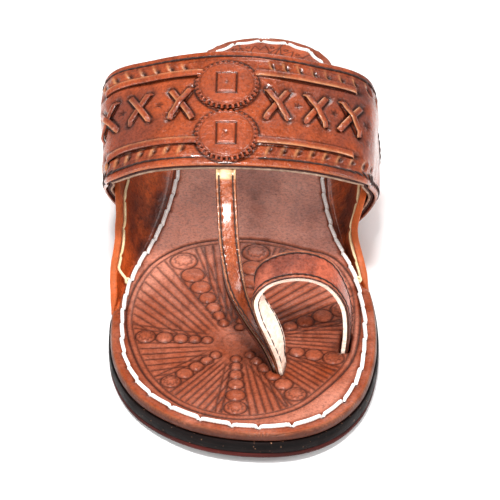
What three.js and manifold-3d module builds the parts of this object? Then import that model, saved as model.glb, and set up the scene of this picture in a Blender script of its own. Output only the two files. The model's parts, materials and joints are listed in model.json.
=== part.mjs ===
// A flat leather toe-ring sandal (kolhapuri), right foot, standing empty on its sole.
// Millimetres. +Z is up, z = 0 is the floor, the toe points along -Y, and the big-toe side is +X.
// The sole is a stack of leather layers, two leaf-shaped ears stand out of its waist, and the upper is one
// joined piece: an arched instep band, a centre strap and a toe ring. Two rosettes sit on the band.

import * as THREE from 'three';
import { mergeVertices } from 'three/addons/utils/BufferGeometryUtils.js';
import Module from 'manifold-3d';

// ---------------------------------------------------------------- driving sizes

const GAP = 0.3; // between pieces that touch
const HALF_LENGTH = 135; // the sole is 270 long
const OUTSOLE = 2.0;
const MIDSOLE = 4.6;
const FOOTBED = 3.5;
const HEEL_RAISE = 7.5;
const RAISE_START = -22; // where the sole leaves the floor behind the ball
const RAISE_END = 81;
const TOE_SPRING = 3.0;
const SPRING_START = -76;
const LIFT_FRONT = 46; // front face of the heel lift
const FOOTBED_INSET = 0.6;
const EAR_THICK = 2.6;
const EAR_TAB = 6; // depth of the ear's root under the footbed margin
const EAR_ROOT = -1.2; // the ear turns up this far outside the sole's edge
const EAR_FRONT = { lateral: -54, medial: -38 };
const EAR_REAR = 98;
const FOOTBED_STEP = 2.3; // how much further in the footbed stops beside the ears
const BAND_THICK = 3.6; // two layers of leather
const BAND_CROWN = 1.2; // how far the band's middle stands above a straight line across it
const BAND_EAR_GAP = 1.0;
const STRAP_THICK = 2.4;
const STRAP_WIDTH = 7.8;
const RING_THICK = 2.6;
const SLOT_CLEARANCE = 0.4; // round the strap and ring ends where they pass into the footbed
const ROSETTE_RADIUS = 11.9;
const ROSETTE_THICK = 1.8;

// ---------------------------------------------------------------- tables

// The sole's edge from above, round from the toe tip along the big-toe side to the heel and back.
const SOLE_EDGE = [
  { at: 'toe tip', x: 3, y: -135 },
  { at: 'big toe', x: 20, y: -133.5 },
  { at: 'big toe corner', x: 33, y: -126 },
  { at: 'big toe side', x: 43.5, y: -111 },
  { at: 'ball front, medial', x: 49.5, y: -88 },
  { at: 'ball, medial', x: 50.4, y: -60 },
  { at: 'ball rear, medial', x: 46.8, y: -32 },
  { at: 'waist front, medial', x: 39.5, y: -7 },
  { at: 'waist, medial', x: 34.6, y: 24 },
  { at: 'heel front, medial', x: 35, y: 60 },
  { at: 'heel, medial', x: 36.6, y: 95 },
  { at: 'heel corner, medial', x: 31.5, y: 120 },
  { at: 'heel back, medial', x: 18, y: 132 },
  { at: 'heel back', x: 3.5, y: 135 },
  { at: 'heel back, lateral', x: -12, y: 131.5 },
  { at: 'heel corner, lateral', x: -25, y: 118 },
  { at: 'heel, lateral', x: -31.5, y: 92 },
  { at: 'heel front, lateral', x: -33.8, y: 58 },
  { at: 'waist, lateral', x: -35.2, y: 24 },
  { at: 'waist front, lateral', x: -41, y: -7 },
  { at: 'ball rear, lateral', x: -48.8, y: -34 },
  { at: 'ball, lateral', x: -51.3, y: -60 },
  { at: 'little toe side', x: -48.3, y: -90 },
  { at: 'little toe corner', x: -37.5, y: -113 },
  { at: 'small toes', x: -18, y: -129.3 },
];

// One row for each section of the ears: how far the rim reaches out of the sole and how high it rises.
const EAR_SECTIONS = [
  { y: -54, lateralReach: 1.9, lateralRise: 0.6, medialReach: 0.4, medialRise: 0.3 },
  { y: -46, lateralReach: 2.1, lateralRise: 2.9, medialReach: 0.4, medialRise: 0.3 },
  { y: -40, lateralReach: 2.8, lateralRise: 5.9, medialReach: 0.4, medialRise: 0.5 },
  { y: -34, lateralReach: 3.9, lateralRise: 8.6, medialReach: 0.4, medialRise: 1.8 },
  { y: -28, lateralReach: 4.7, lateralRise: 10.7, medialReach: 0.6, medialRise: 4.6 },
  { y: -22, lateralReach: 6.1, lateralRise: 12.8, medialReach: 0.8, medialRise: 8.2 },
  { y: -16, lateralReach: 8.4, lateralRise: 14.4, medialReach: 1.4, medialRise: 11.6 },
  { y: -10, lateralReach: 10.2, lateralRise: 16.3, medialReach: 3.4, medialRise: 13.6 },
  { y: -4, lateralReach: 12.2, lateralRise: 18.8, medialReach: 6.4, medialRise: 15.8 },
  { y: 5, lateralReach: 14.8, lateralRise: 20.9, medialReach: 10.2, medialRise: 19.4 },
  { y: 18, lateralReach: 16.0, lateralRise: 21.4, medialReach: 12.6, medialRise: 20.8 },
  { y: 32, lateralReach: 15.9, lateralRise: 19.2, medialReach: 13.4, medialRise: 18.8 },
  { y: 48, lateralReach: 14.9, lateralRise: 16.2, medialReach: 13.0, medialRise: 15.4 },
  { y: 64, lateralReach: 12.9, lateralRise: 13.0, medialReach: 11.4, medialRise: 12.0 },
  { y: 80, lateralReach: 9.8, lateralRise: 9.8, medialReach: 9.0, medialRise: 8.6 },
  { y: 98, lateralReach: 2.6, lateralRise: 3.0, medialReach: 2.4, medialRise: 2.8 },
];

// The band's two long edges where it lies on the outside of an ear. up is 0 at the ear's root, 1 at its rim.
const BAND_ON_EAR = [
  { up: 0.3, rearY: 30, frontY: 8 },
  { up: 0.62, rearY: 28, frontY: 6 },
  { up: 0.95, rearY: 25.5, frontY: 2 },
];

// The band's free arch, from the lateral side over the instep to the medial side.
const BAND_ARCH = [
  { at: 'lateral side', rear: [-55.2, 23, 45], front: [-53.4, -13, 37.5] },
  { at: 'lateral shoulder', rear: [-54.4, 21.5, 66], front: [-51, -29.5, 50.5] },
  { at: 'lateral slope', rear: [-36.5, 17.5, 75.5], front: [-36, -35.5, 60] },
  { at: 'crown', rear: [-7.5, 14, 82], front: [-7.5, -37.5, 63.3] },
  { at: 'medial slope', rear: [23, 16, 77], front: [22.5, -36, 60.5] },
  { at: 'medial shoulder', rear: [45.8, 20.5, 66], front: [43.2, -30, 51.5] },
  { at: 'medial side', rear: [48.8, 23, 46], front: [46.2, -12.5, 37.5] },
];

// The centre strap's middle line, from under the band to the toe post, and the way its width points.
const CENTRE_STRAP = [
  { at: 'under the band', x: -7.5, y: -27, z: 66, across: [1, 0, 0] },
  { at: 'band front', x: -7.6, y: -38, z: 59.6, across: [1, 0, 0] },
  { at: 'upper run', x: -6.8, y: -50, z: 52.4, across: [1, 0, 0] },
  { at: 'middle run', x: -5.5, y: -62, z: 42.4, across: [1, 0.12, -0.05] },
  { at: 'lower run', x: -2.6, y: -73, z: 31, across: [0.86, 0.45, -0.22] },
  { at: 'start of the twist', x: 2.3, y: -80.5, z: 23, across: [0.45, 0.75, -0.45] },
  { at: 'twist', x: 8.0, y: -86.5, z: 16, across: [0.15, 0.88, -0.4] },
  { at: 'post', x: 11.4, y: -90.8, z: 10.8, across: [0.05, 0.98, -0.15] },
  { at: 'in the slot', x: 12.4, y: -91.4, z: 8.0, across: [0.05, 1, 0] },
];

// The toe ring's front and rear edges, from the post over the big toe to its foot inside the medial margin.
const TOE_RING = [
  { at: 'in the slot', front: [13.8, -94.4, 8.0], rear: [15.2, -87.6, 8.0] },
  { at: 'post', front: [12.5, -92.4, 13.4], rear: [14.7, -86.6, 13.0] },
  { at: 'left low', front: [8.9, -90.0, 21.8], rear: [14.6, -83.8, 18.4] },
  { at: 'left', front: [5.2, -86.0, 28.6], rear: [11.9, -79.2, 23.4] },
  { at: 'left high', front: [4.2, -81.6, 33.0], rear: [6.2, -73.0, 30.8] },
  { at: 'left shoulder', front: [9.2, -76.8, 36.6], rear: [5.6, -65.5, 37.6] },
  { at: 'crown', front: [21, -73.6, 37.6], rear: [18.6, -60.6, 40.8] },
  { at: 'right shoulder', front: [30.8, -73.8, 34.4], rear: [31, -60.8, 37.2] },
  { at: 'right', front: [37.0, -75.4, 26.6], rear: [37.4, -63.6, 27.0] },
  { at: 'right low', front: [38.4, -78.4, 17.2], rear: [39.4, -67.6, 17.2] },
  { at: 'in the slot', front: [37.6, -81.6, 8.0], rear: [38.6, -70.4, 8.0] },
];

// Where the two rosettes sit: along the band's length (0 lateral, 1 medial) and across it (0 rear, 1 front).
const ROSETTES = [
  { name: 'rosette_rear', along: 0.4985, across: 0.328 },
  { name: 'rosette_front', along: 0.4995, across: 0.768 },
];

// How finely each form is cut into flat faces.
const STEPS = { edge: 96, profile: 30, ear: 30, earRise: 7, band: 48, bandWidth: 6, strap: 22, ring: 32, disc: 28 };

// ---------------------------------------------------------------- curves

const vector = ([x, y, z]) => new THREE.Vector3(x, y, z);

function smoothstep(value) {
  const t = Math.min(1, Math.max(0, value));
  return t * t * (3 - 2 * t);
}

// Smooth curve through one column of a table, read at a value of its y column.
function column(rows, name, y) {
  const last = rows.length - 1;
  const at = Math.min(Math.max(y, rows[0].y), rows[last].y);
  let i = 0;
  while (i < last - 1 && at > rows[i + 1].y) i += 1;
  const slope = (k) => {
    const a = rows[Math.max(k - 1, 0)];
    const b = rows[Math.min(k + 1, last)];
    return (b[name] - a[name]) / (b.y - a.y);
  };
  const span = rows[i + 1].y - rows[i].y;
  const t = (at - rows[i].y) / span;
  const from = (1 + 2 * t) * (1 - t) * (1 - t) * rows[i][name] + t * (1 - t) * (1 - t) * span * slope(i);
  const to = t * t * (3 - 2 * t) * rows[i + 1][name] - t * t * (1 - t) * span * slope(i + 1);
  return from + to;
}

const curveThrough = (points, closed = false) => new THREE.CatmullRomCurve3(points, closed, 'centripetal');

// ---------------------------------------------------------------- solids

const library = await Module();
library.setup();

function solidOf(geometry) {
  const bare = geometry.clone();
  bare.deleteAttribute('normal');
  bare.deleteAttribute('uv');
  const merged = mergeVertices(bare, 1e-4);
  const vertProperties = new Float32Array(merged.attributes.position.array);
  const triVerts = new Uint32Array(merged.index.array);
  return new library.Manifold(new library.Mesh({ numProp: 3, vertProperties, triVerts }));
}

function geometryOf(solid) {
  const mesh = solid.getMesh();
  const geometry = new THREE.BufferGeometry();
  geometry.setAttribute('position', new THREE.BufferAttribute(new Float32Array(mesh.vertProperties), 3));
  geometry.setIndex(new THREE.BufferAttribute(new Uint32Array(mesh.triVerts), 1));
  geometry.computeVertexNormals();
  return geometry;
}

// A closed skin between two grids of points, upper[i][j] over lower[i][j].
function skin(upper, lower) {
  const rows = upper.length;
  const cols = upper[0].length;
  const points = [...upper.flat(), ...lower.flat()];
  const top = (i, j) => i * cols + j;
  const bottom = (i, j) => rows * cols + i * cols + j;
  const index = [];
  const quad = (a, b, c, d) => index.push(a, b, c, a, c, d);
  for (let i = 0; i < rows - 1; i += 1) {
    for (let j = 0; j < cols - 1; j += 1) {
      quad(top(i, j), top(i + 1, j), top(i + 1, j + 1), top(i, j + 1));
      quad(bottom(i, j), bottom(i, j + 1), bottom(i + 1, j + 1), bottom(i + 1, j));
    }
    quad(top(i, 0), bottom(i, 0), bottom(i + 1, 0), top(i + 1, 0));
    quad(top(i, cols - 1), top(i + 1, cols - 1), bottom(i + 1, cols - 1), bottom(i, cols - 1));
  }
  for (let j = 0; j < cols - 1; j += 1) {
    quad(top(0, j), top(0, j + 1), bottom(0, j + 1), bottom(0, j));
    quad(top(rows - 1, j), bottom(rows - 1, j), bottom(rows - 1, j + 1), top(rows - 1, j + 1));
  }
  return outward(points, index);
}

// The same faces turned to point out, whichever way the grids ran.
function outward(points, index) {
  let volume = 0;
  for (let k = 0; k < index.length; k += 3) {
    const [a, b, c] = [points[index[k]], points[index[k + 1]], points[index[k + 2]]];
    volume += a.dot(b.clone().cross(c));
  }
  if (volume < 0) {
    for (let k = 0; k < index.length; k += 3) {
      [index[k + 1], index[k + 2]] = [index[k + 2], index[k + 1]];
    }
  }
  const geometry = new THREE.BufferGeometry().setFromPoints(points);
  geometry.setIndex(index);
  return solidOf(geometry);
}

// ---------------------------------------------------------------- sole

const soleEdge = curveThrough(SOLE_EDGE.map(({ x, y }) => new THREE.Vector3(x, y, 0)), true);
const edgePoints = Array.from({ length: STEPS.edge }, (_, k) => soleEdge.getPoint(k / STEPS.edge));

// The sole's edge moved inwards, by a distance or by what a function gives for each point.
function insetEdge(amount) {
  return edgePoints.map((point, k) => {
    const distance = typeof amount === 'function' ? amount(point) : amount;
    const before = edgePoints[(k + STEPS.edge - 1) % STEPS.edge];
    const after = edgePoints[(k + 1) % STEPS.edge];
    const along = after.clone().sub(before).normalize();
    return new THREE.Vector2(point.x - along.y * distance, point.y + along.x * distance);
  });
}

// x of the sole's edge at y, on the medial (side 1) or lateral (side -1) side.
function edgeX(side, y) {
  for (let k = 0; k < STEPS.edge; k += 1) {
    const a = edgePoints[k];
    const b = edgePoints[(k + 1) % STEPS.edge];
    const rising = (b.y - a.y) * side > 0;
    const inside = (y - a.y) * (y - b.y) <= 0;
    if (rising && inside) return a.x + ((b.x - a.x) * (y - a.y)) / (b.y - a.y);
  }
  throw new Error(`no sole edge at y = ${y}`);
}

// Height of the sole's underside.
function soleBase(y) {
  const raise = HEEL_RAISE * smoothstep((y - RAISE_START) / (RAISE_END - RAISE_START));
  const spring = Math.max(0, (SPRING_START - y) / (SPRING_START + HALF_LENGTH));
  return raise + TOE_SPRING * spring * spring;
}

function plate(outline, bottomAt, topAt, fromY, toY) {
  const tall = new THREE.ExtrudeGeometry(new THREE.Shape(outline), { depth: 60, bevelEnabled: false });
  const stations = Array.from({ length: STEPS.profile + 1 }, (_, k) => fromY + ((toY - fromY) * k) / STEPS.profile);
  const profile = [
    ...stations.map((y) => new THREE.Vector2(y, bottomAt(y))),
    ...stations.reverse().map((y) => new THREE.Vector2(y, topAt(y))),
  ];
  const across = new THREE.ExtrudeGeometry(new THREE.Shape(profile), { depth: 140, bevelEnabled: false });
  const turn = new THREE.Matrix4().makeBasis(vector([0, 1, 0]), vector([0, 0, 1]), vector([1, 0, 0]));
  across.applyMatrix4(turn).translate(-70, 0, 0);
  tall.translate(0, 0, -20);
  return solidOf(tall).intersect(solidOf(across));
}

function soleLayer(above, thick, inset) {
  const reach = HALF_LENGTH + 2;
  return plate(insetEdge(inset), (y) => soleBase(y) + above, (y) => soleBase(y) + above + thick, -reach, reach);
}

const MIDSOLE_AT = OUTSOLE + GAP;
const EAR_MID = MIDSOLE_AT + MIDSOLE - EAR_THICK / 2; // the ear's root is let into the midsole's top
const FOOTBED_AT = MIDSOLE_AT + MIDSOLE + GAP;

// ---------------------------------------------------------------- ears

// 1 where an ear stands beside the footbed, 0 clear of it.
function besideEar({ x, y }) {
  const start = EAR_FRONT[x > 0 ? 'medial' : 'lateral'];
  return smoothstep((y - start + 6) / 6) * smoothstep((EAR_REAR + 8 - y) / 8);
}

// Point in the middle of an ear's thickness and the way its outside faces. up runs from -1 at the tab's end
// to 0 where the ear leaves the sole and 1 at the rim.
function earAt(side, y, up) {
  const name = side > 0 ? 'medial' : 'lateral';
  const reach = column(EAR_SECTIONS, `${name}Reach`, y);
  const rise = column(EAR_SECTIONS, `${name}Rise`, y);
  const root = Math.abs(edgeX(side, y)) + EAR_ROOT;
  const height = soleBase(y) + EAR_MID;
  if (up < 0) {
    const inside = new THREE.Vector3(side * (root + up * (EAR_TAB + EAR_ROOT)), y, height);
    return { point: inside, outside: new THREE.Vector3(0, 0, -1) };
  }
  const bend = new THREE.QuadraticBezierCurve(
    new THREE.Vector2(root, height),
    new THREE.Vector2(root + 0.6 * reach, height + 0.1 * rise),
    new THREE.Vector2(root + reach, height + rise),
  );
  const at = bend.getPoint(up);
  const along = bend.getTangent(up);
  return {
    point: new THREE.Vector3(side * at.x, y, at.y),
    outside: new THREE.Vector3(side * along.y, 0, -along.x),
  };
}

function ear(side, grow) {
  const first = EAR_FRONT[side > 0 ? 'medial' : 'lateral'] - grow;
  const last = EAR_REAR + grow;
  const half = EAR_THICK / 2 + grow;
  const ups = [-1 - grow / EAR_TAB, -0.1];
  for (let k = 0; k <= STEPS.earRise; k += 1) ups.push((k / STEPS.earRise) * (1 + grow / 20));
  const inner = [];
  const outer = [];
  for (let i = 0; i <= STEPS.ear; i += 1) {
    const y = first + ((last - first) * i) / STEPS.ear;
    const section = ups.map((up) => earAt(side, y, up));
    inner.push(section.map(({ point, outside }) => point.clone().addScaledVector(outside, -half)));
    outer.push(section.map(({ point, outside }) => point.clone().addScaledVector(outside, half)));
  }
  return skin(inner, outer);
}

// ---------------------------------------------------------------- upper

// The middle of the band's thickness, as two edge curves from the lateral end to the medial end.
function bandEdges() {
  const onEar = (side, { up, rearY, frontY }) => {
    const away = EAR_THICK / 2 + BAND_EAR_GAP + BAND_THICK / 2;
    const [rear, front] = [rearY, frontY].map((y) => {
      const { point, outside } = earAt(side, y, up);
      return point.addScaledVector(outside, away);
    });
    return { rear, front };
  };
  const rows = [
    ...BAND_ON_EAR.map((row) => onEar(-1, row)),
    ...BAND_ARCH.map(({ rear, front }) => ({ rear: vector(rear), front: vector(front) })),
    ...[...BAND_ON_EAR].reverse().map((row) => onEar(1, row)),
  ];
  return { rear: curveThrough(rows.map((row) => row.rear)), front: curveThrough(rows.map((row) => row.front)) };
}

const band = bandEdges();

// Point on the band's middle surface with its outward normal. Both numbers run from 0 to 1.
function bandAt(along, across) {
  const surface = (u, v) => band.rear.getPoint(u).lerp(band.front.getPoint(u), v);
  const step = 0.004;
  const low = Math.max(along - step, 0);
  const high = Math.min(along + step, 1);
  const lengthwise = surface(high, across).sub(surface(low, across));
  const crosswise = surface(along, 1).sub(surface(along, 0));
  const normal = crosswise.cross(lengthwise).normalize();
  const crown = BAND_CROWN * 4 * across * (1 - across);
  return { point: surface(along, across).addScaledVector(normal, crown), normal };
}

function bandSolid() {
  const outer = [];
  const inner = [];
  for (let i = 0; i <= STEPS.band; i += 1) {
    const row = Array.from({ length: STEPS.bandWidth + 1 }, (_, j) => bandAt(i / STEPS.band, j / STEPS.bandWidth));
    outer.push(row.map(({ point, normal }) => point.clone().addScaledVector(normal, BAND_THICK / 2)));
    inner.push(row.map(({ point, normal }) => point.clone().addScaledVector(normal, -BAND_THICK / 2)));
  }
  return skin(outer, inner);
}

// A flat strip of leather between two edge curves. grow widens and thickens it, and runs its ends on.
function strip(edgeA, edgeB, steps, thick, grow) {
  const upper = [];
  const lower = [];
  for (let i = 0; i <= steps; i += 1) {
    const u = i / steps;
    const a = edgeA.getPoint(u);
    const b = edgeB.getPoint(u);
    const along = edgeA.getTangent(u).add(edgeB.getTangent(u)).normalize();
    const across = b.clone().sub(a).normalize();
    const normal = along.clone().cross(across).normalize();
    const end = i === 0 ? -1 : Number(i === steps);
    const shift = along.multiplyScalar(end * grow * 5);
    a.addScaledVector(across, -grow).add(shift);
    b.addScaledVector(across, grow).add(shift);
    const middle = a.clone().lerp(b, 0.5);
    const half = thick / 2 + grow;
    upper.push([a, middle, b].map((point) => point.clone().addScaledVector(normal, half)));
    lower.push([a, middle, b].map((point) => point.clone().addScaledVector(normal, -half)));
  }
  return skin(upper, lower);
}

function centreStrap(grow) {
  const edge = (way) => curveThrough(CENTRE_STRAP.map(({ x, y, z, across }) => (
    new THREE.Vector3(x, y, z).addScaledVector(vector(across).normalize(), (way * STRAP_WIDTH) / 2)
  )));
  return strip(edge(-1), edge(1), STEPS.strap, STRAP_THICK, grow);
}

function toeRing(grow) {
  const edge = (name) => curveThrough(TOE_RING.map((row) => vector(row[name])));
  return strip(edge('front'), edge('rear'), STEPS.ring, RING_THICK, grow);
}

// ---------------------------------------------------------------- rosettes

// A round disc that follows the band's own curve, just proud of it.
function rosette({ along, across }) {
  const perAlong = bandAt(along - 0.02, across).point.distanceTo(bandAt(along + 0.02, across).point) / 0.04;
  const perAcross = bandAt(along, across - 0.1).point.distanceTo(bandAt(along, across + 0.1).point) / 0.2;
  const rise = BAND_THICK / 2 + GAP;
  const upper = [];
  const lower = [];
  for (const radius of [0.02, 0.5, 1]) {
    const ring = [];
    for (let k = 0; k <= STEPS.disc; k += 1) {
      const angle = (2 * Math.PI * (k % STEPS.disc)) / STEPS.disc;
      const u = along + (radius * ROSETTE_RADIUS * Math.cos(angle)) / perAlong;
      const v = across + (radius * ROSETTE_RADIUS * Math.sin(angle)) / perAcross;
      ring.push(bandAt(u, v));
    }
    upper.push(ring.map(({ point, normal }) => point.clone().addScaledVector(normal, rise + ROSETTE_THICK)));
    lower.push(ring.map(({ point, normal }) => point.clone().addScaledVector(normal, rise)));
  }
  return disc(upper, lower);
}

// Rings of points closed to a disc: a fan at the centre, the rings, and a rim wall.
function disc(upper, lower) {
  const around = STEPS.disc;
  const points = [];
  const index = [];
  const levels = [upper, lower].map((rings) => {
    const centre = points.push(rings[0][0].clone().lerp(rings[0][around / 2], 0.5)) - 1;
    const starts = rings.slice(1).map((ring) => {
      const start = points.length;
      points.push(...ring.slice(0, around));
      return start;
    });
    return { centre, starts };
  });
  const next = (k) => (k + 1) % around;
  levels.forEach(({ centre, starts }, level) => {
    const face = (a, b, c) => (level === 0 ? index.push(a, b, c) : index.push(a, c, b));
    for (let k = 0; k < around; k += 1) {
      face(centre, starts[0] + k, starts[0] + next(k));
      face(starts[0] + k, starts[1] + k, starts[1] + next(k));
      face(starts[0] + k, starts[1] + next(k), starts[0] + next(k));
    }
  });
  const [top, bottom] = levels.map(({ starts }) => starts[1]);
  for (let k = 0; k < around; k += 1) {
    index.push(top + k, bottom + k, bottom + next(k));
    index.push(top + k, bottom + next(k), top + next(k));
  }
  return outward(points, index);
}

// ---------------------------------------------------------------- assembly

const LEATHER = {
  heel_lift: { color: 0x7a3f2c, roughness: 0.55 },
  outsole: { color: 0x6e3a28, roughness: 0.7 },
  midsole: { color: 0x2d1f1c, roughness: 0.6 },
  footbed: { color: 0xa06450, roughness: 0.45 },
  ear: { color: 0x8a4a30, roughness: 0.5 },
  upper: { color: 0x96482a, roughness: 0.35 },
  rosette: { color: 0x8c4228, roughness: 0.35 },
};

const sandal = new THREE.Group();

function add(name, solid, finish) {
  const material = new THREE.MeshStandardMaterial({ ...LEATHER[finish], metalness: 0 });
  const mesh = new THREE.Mesh(geometryOf(solid), material);
  mesh.name = name;
  sandal.add(mesh);
}

const liftTop = (y) => soleBase(y) - GAP;
add('heel_lift', plate(insetEdge(0), () => 0, liftTop, LIFT_FRONT, HALF_LENGTH + 2), 'heel_lift');
add('outsole', soleLayer(0, OUTSOLE, 0), 'outsole');
add('midsole', soleLayer(MIDSOLE_AT, MIDSOLE, 0).subtract(ear(1, GAP)).subtract(ear(-1, GAP)).simplify(0.04), 'midsole');

const slots = centreStrap(SLOT_CLEARANCE).add(toeRing(SLOT_CLEARANCE));
const footbedInset = (point) => FOOTBED_INSET + FOOTBED_STEP * besideEar(point);
add('footbed', soleLayer(FOOTBED_AT, FOOTBED, footbedInset).subtract(slots), 'footbed');

add('ear_lateral', ear(-1, 0), 'ear');
add('ear_medial', ear(1, 0), 'ear');

add('upper', bandSolid().add(centreStrap(0)).add(toeRing(0)), 'upper');

for (const place of ROSETTES) add(place.name, rosette(place), 'rosette');

// The origin is on the floor, under the middle of the whole shoe's box.
const middle = new THREE.Box3().setFromObject(sandal).getCenter(new THREE.Vector3());
sandal.position.set(-middle.x, -middle.y, 0);

export default sandal;
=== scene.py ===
"""Looks of a kolhapuri sandal for the right foot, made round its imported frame.

Tables and sizes are in millimetres; metres() turns them into the frame's metres.
The toe points along -Y, the big-toe side is +X, and the floor is z = 0.
"""

import json
import math

import bmesh
import bpy
import numpy as np
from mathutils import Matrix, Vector

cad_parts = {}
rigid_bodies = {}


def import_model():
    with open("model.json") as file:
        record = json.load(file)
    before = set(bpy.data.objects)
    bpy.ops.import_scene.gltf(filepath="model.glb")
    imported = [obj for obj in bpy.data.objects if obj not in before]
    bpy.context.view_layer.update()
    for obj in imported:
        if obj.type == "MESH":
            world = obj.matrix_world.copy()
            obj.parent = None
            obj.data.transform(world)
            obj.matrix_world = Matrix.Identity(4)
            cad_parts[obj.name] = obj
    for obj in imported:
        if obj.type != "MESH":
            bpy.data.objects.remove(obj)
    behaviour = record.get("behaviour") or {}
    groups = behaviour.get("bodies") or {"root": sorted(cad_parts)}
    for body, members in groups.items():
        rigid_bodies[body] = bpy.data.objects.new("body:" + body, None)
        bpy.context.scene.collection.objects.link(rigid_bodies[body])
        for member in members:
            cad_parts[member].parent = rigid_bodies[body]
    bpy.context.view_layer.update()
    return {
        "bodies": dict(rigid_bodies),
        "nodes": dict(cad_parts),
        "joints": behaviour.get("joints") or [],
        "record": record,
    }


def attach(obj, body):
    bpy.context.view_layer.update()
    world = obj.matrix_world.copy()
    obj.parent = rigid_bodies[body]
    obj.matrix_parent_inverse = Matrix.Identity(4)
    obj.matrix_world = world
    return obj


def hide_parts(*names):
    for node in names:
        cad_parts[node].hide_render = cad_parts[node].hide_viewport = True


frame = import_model()
chance = np.random.default_rng(7)

# ------------------------------------------------------------------ sizes

ORIGIN_SHIFT = (2.68, 0.11, 0.0)  # from the lasting centre of the sole to the middle of the shoe
OUTSOLE, MIDSOLE, FOOTBED, GAP = 2.0, 4.6, 3.5, 0.3
HALF_LENGTH = 135
HEEL_RAISE, RAISE_START, RAISE_END = 7.5, -22, 81
TOE_SPRING, SPRING_START = 3, -76
MIDSOLE_AT = OUTSOLE + GAP
FOOTBED_AT = MIDSOLE_AT + MIDSOLE + GAP
FOOTBED_INSET = 0.6
LIFT_FRONT = 46.0
EAR_HALF = 1.3
EAR_MID = MIDSOLE_AT + MIDSOLE - EAR_HALF
EAR_TAB, EAR_ROOT = 4.8, -1.2
EAR_START, EAR_END = {-1: -54.0, 1: -38.0}, 98.0
FOOTBED_STEP = 2.3  # how much further in the footbed stops beside the ears
BAND_THICK, BAND_CROWN, BAND_WIDE = 3.6, 1.2, 55.7
BAND_OFF_EAR = EAR_HALF + 1.0 + BAND_THICK / 2
STRAP_THICK, STRAP_WIDE = 2.4, 7.8
STRAP_PITCH, STRAP_ROW_IN = 3.4, 1.3  # stitch length, and the row's distance from the edge
RING_THICK, RING_PITCH, RING_ROW_IN = 2.6, 3.0, 1.6
STITCH_INSET = 5.0
HUB = (-2.7, -76.7)  # middle of the forefoot's tooled medallion
PATCH_FRONT, PATCH_HALF, PATCH_RISE, PATCH_X = 54.7, 27.5, 0.5, 2.2
MOTIF = (0.0, 81.3)  # from the patch's own middle

SOLE_EDGE = [
    (3, -135), (20, -133.5), (33, -126), (43.5, -111), (49.5, -88), (50.4, -60), (46.8, -32), (39.5, -7),
    (34.6, 24), (35, 60), (36.6, 95), (31.5, 120), (18, 132), (3.5, 135), (-12, 131.5), (-25, 118),
    (-31.5, 92), (-33.8, 58), (-35.2, 24), (-41, -7), (-48.8, -34), (-51.3, -60), (-48.3, -90), (-37.5, -113),
    (-18, -129.3),
]
# y, then how far the ear's rim reaches out and rises: lateral reach, lateral rise, medial reach, medial rise
EAR_SECTIONS = np.array([
    (-54, 0.8, 0.4, 0.4, 0.3), (-46, 1.5, 2.9, 0.4, 0.3), (-40, 2.8, 5.9, 0.4, 0.5),
    (-34, 3.9, 8.6, 0.4, 1.8), (-28, 4.7, 10.7, 0.6, 4.6), (-22, 6.1, 12.8, 0.8, 8.2),
    (-16, 8.4, 14.4, 1.4, 11.6), (-10, 10.2, 16.3, 3.4, 13.6), (-4, 12.2, 18.8, 6.4, 15.8),
    (5, 14.8, 20.9, 10.2, 19.4), (18, 16.0, 21.4, 12.6, 20.8), (32, 15.9, 19.2, 13.4, 18.8),
    (48, 14.9, 16.2, 13.0, 15.4), (64, 12.9, 13.0, 11.4, 12.0), (80, 9.8, 9.8, 9.0, 8.6),
    (98, 2.6, 3.0, 2.4, 2.8),
])
BAND_ON_EAR = [(0.3, 30, 8), (0.62, 28, 6), (0.95, 25.5, 2)]  # height on the ear, rear y, front y
BAND_ARCH = [  # rear edge, front edge, from the lateral side over the instep
    ((-55.2, 23, 45), (-53.4, -13, 37.5)), ((-54.4, 21.5, 66), (-51, -29.5, 50.5)),
    ((-36.5, 17.5, 75.5), (-36, -35.5, 60)), ((-7.5, 14, 82), (-7.5, -37.5, 63.3)),
    ((23, 16, 77), (22.5, -36, 60.5)), ((45.8, 20.5, 66), (43.2, -30, 51.5)),
    ((48.8, 23, 46), (46.2, -12.5, 37.5)),
]
CENTRE_STRAP = [  # middle of the strap, the way its width points
    ((-7.5, -27, 66), (1, 0, 0)), ((-7.6, -38, 59.6), (1, 0, 0)), ((-6.8, -50, 52.4), (1, 0, 0)),
    ((-5.5, -62, 42.4), (1, 0.12, -0.05)), ((-2.6, -73, 31), (0.86, 0.45, -0.22)),
    ((2.3, -80.5, 23), (0.45, 0.75, -0.45)), ((8.0, -86.5, 16), (0.15, 0.88, -0.4)),
    ((11.4, -90.8, 10.8), (0.05, 0.98, -0.15)), ((12.4, -91.4, 8.0), (0.05, 1, 0)),
]
TOE_RING = [  # front edge, rear edge, from the post over the big toe to the foot inside the margin
    ((13.8, -94.4, 8.0), (15.2, -87.6, 8.0)), ((12.5, -92.4, 13.4), (14.7, -86.6, 13.0)),
    ((8.9, -90.0, 21.8), (14.6, -83.8, 18.4)), ((5.2, -86.0, 28.6), (11.9, -79.2, 23.4)),
    ((4.2, -81.6, 33.0), (6.2, -73.0, 30.8)), ((9.2, -76.8, 36.6), (5.6, -65.5, 37.6)),
    ((21, -73.6, 37.6), (18.6, -60.6, 40.8)), ((30.8, -73.8, 34.4), (31, -60.8, 37.2)),
    ((37.0, -75.4, 26.6), (37.4, -63.6, 27.0)), ((38.4, -78.4, 17.2), (39.4, -67.6, 17.2)),
    ((37.6, -81.6, 8.0), (38.6, -70.4, 8.0)),
]
MEDALLION = [
    (-45, -64), (-42, -81), (-35, -100), (-24, -115), (-12, -122.6), (3, -125), (19, -119), (31, -105),
    (40, -89), (43, -75), (44, -55), (42, -38), (36, -24), (31, -19), (23, -16), (12, -12), (0, -9.8),
    (-17.6, -12), (-28, -17), (-36.5, -26), (-42, -39), (-44.6, -52),
]
BEAD_CHAINS = [-133, -89, -55, -14, 28, 84, 113, 175]  # degrees round the hub
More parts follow.
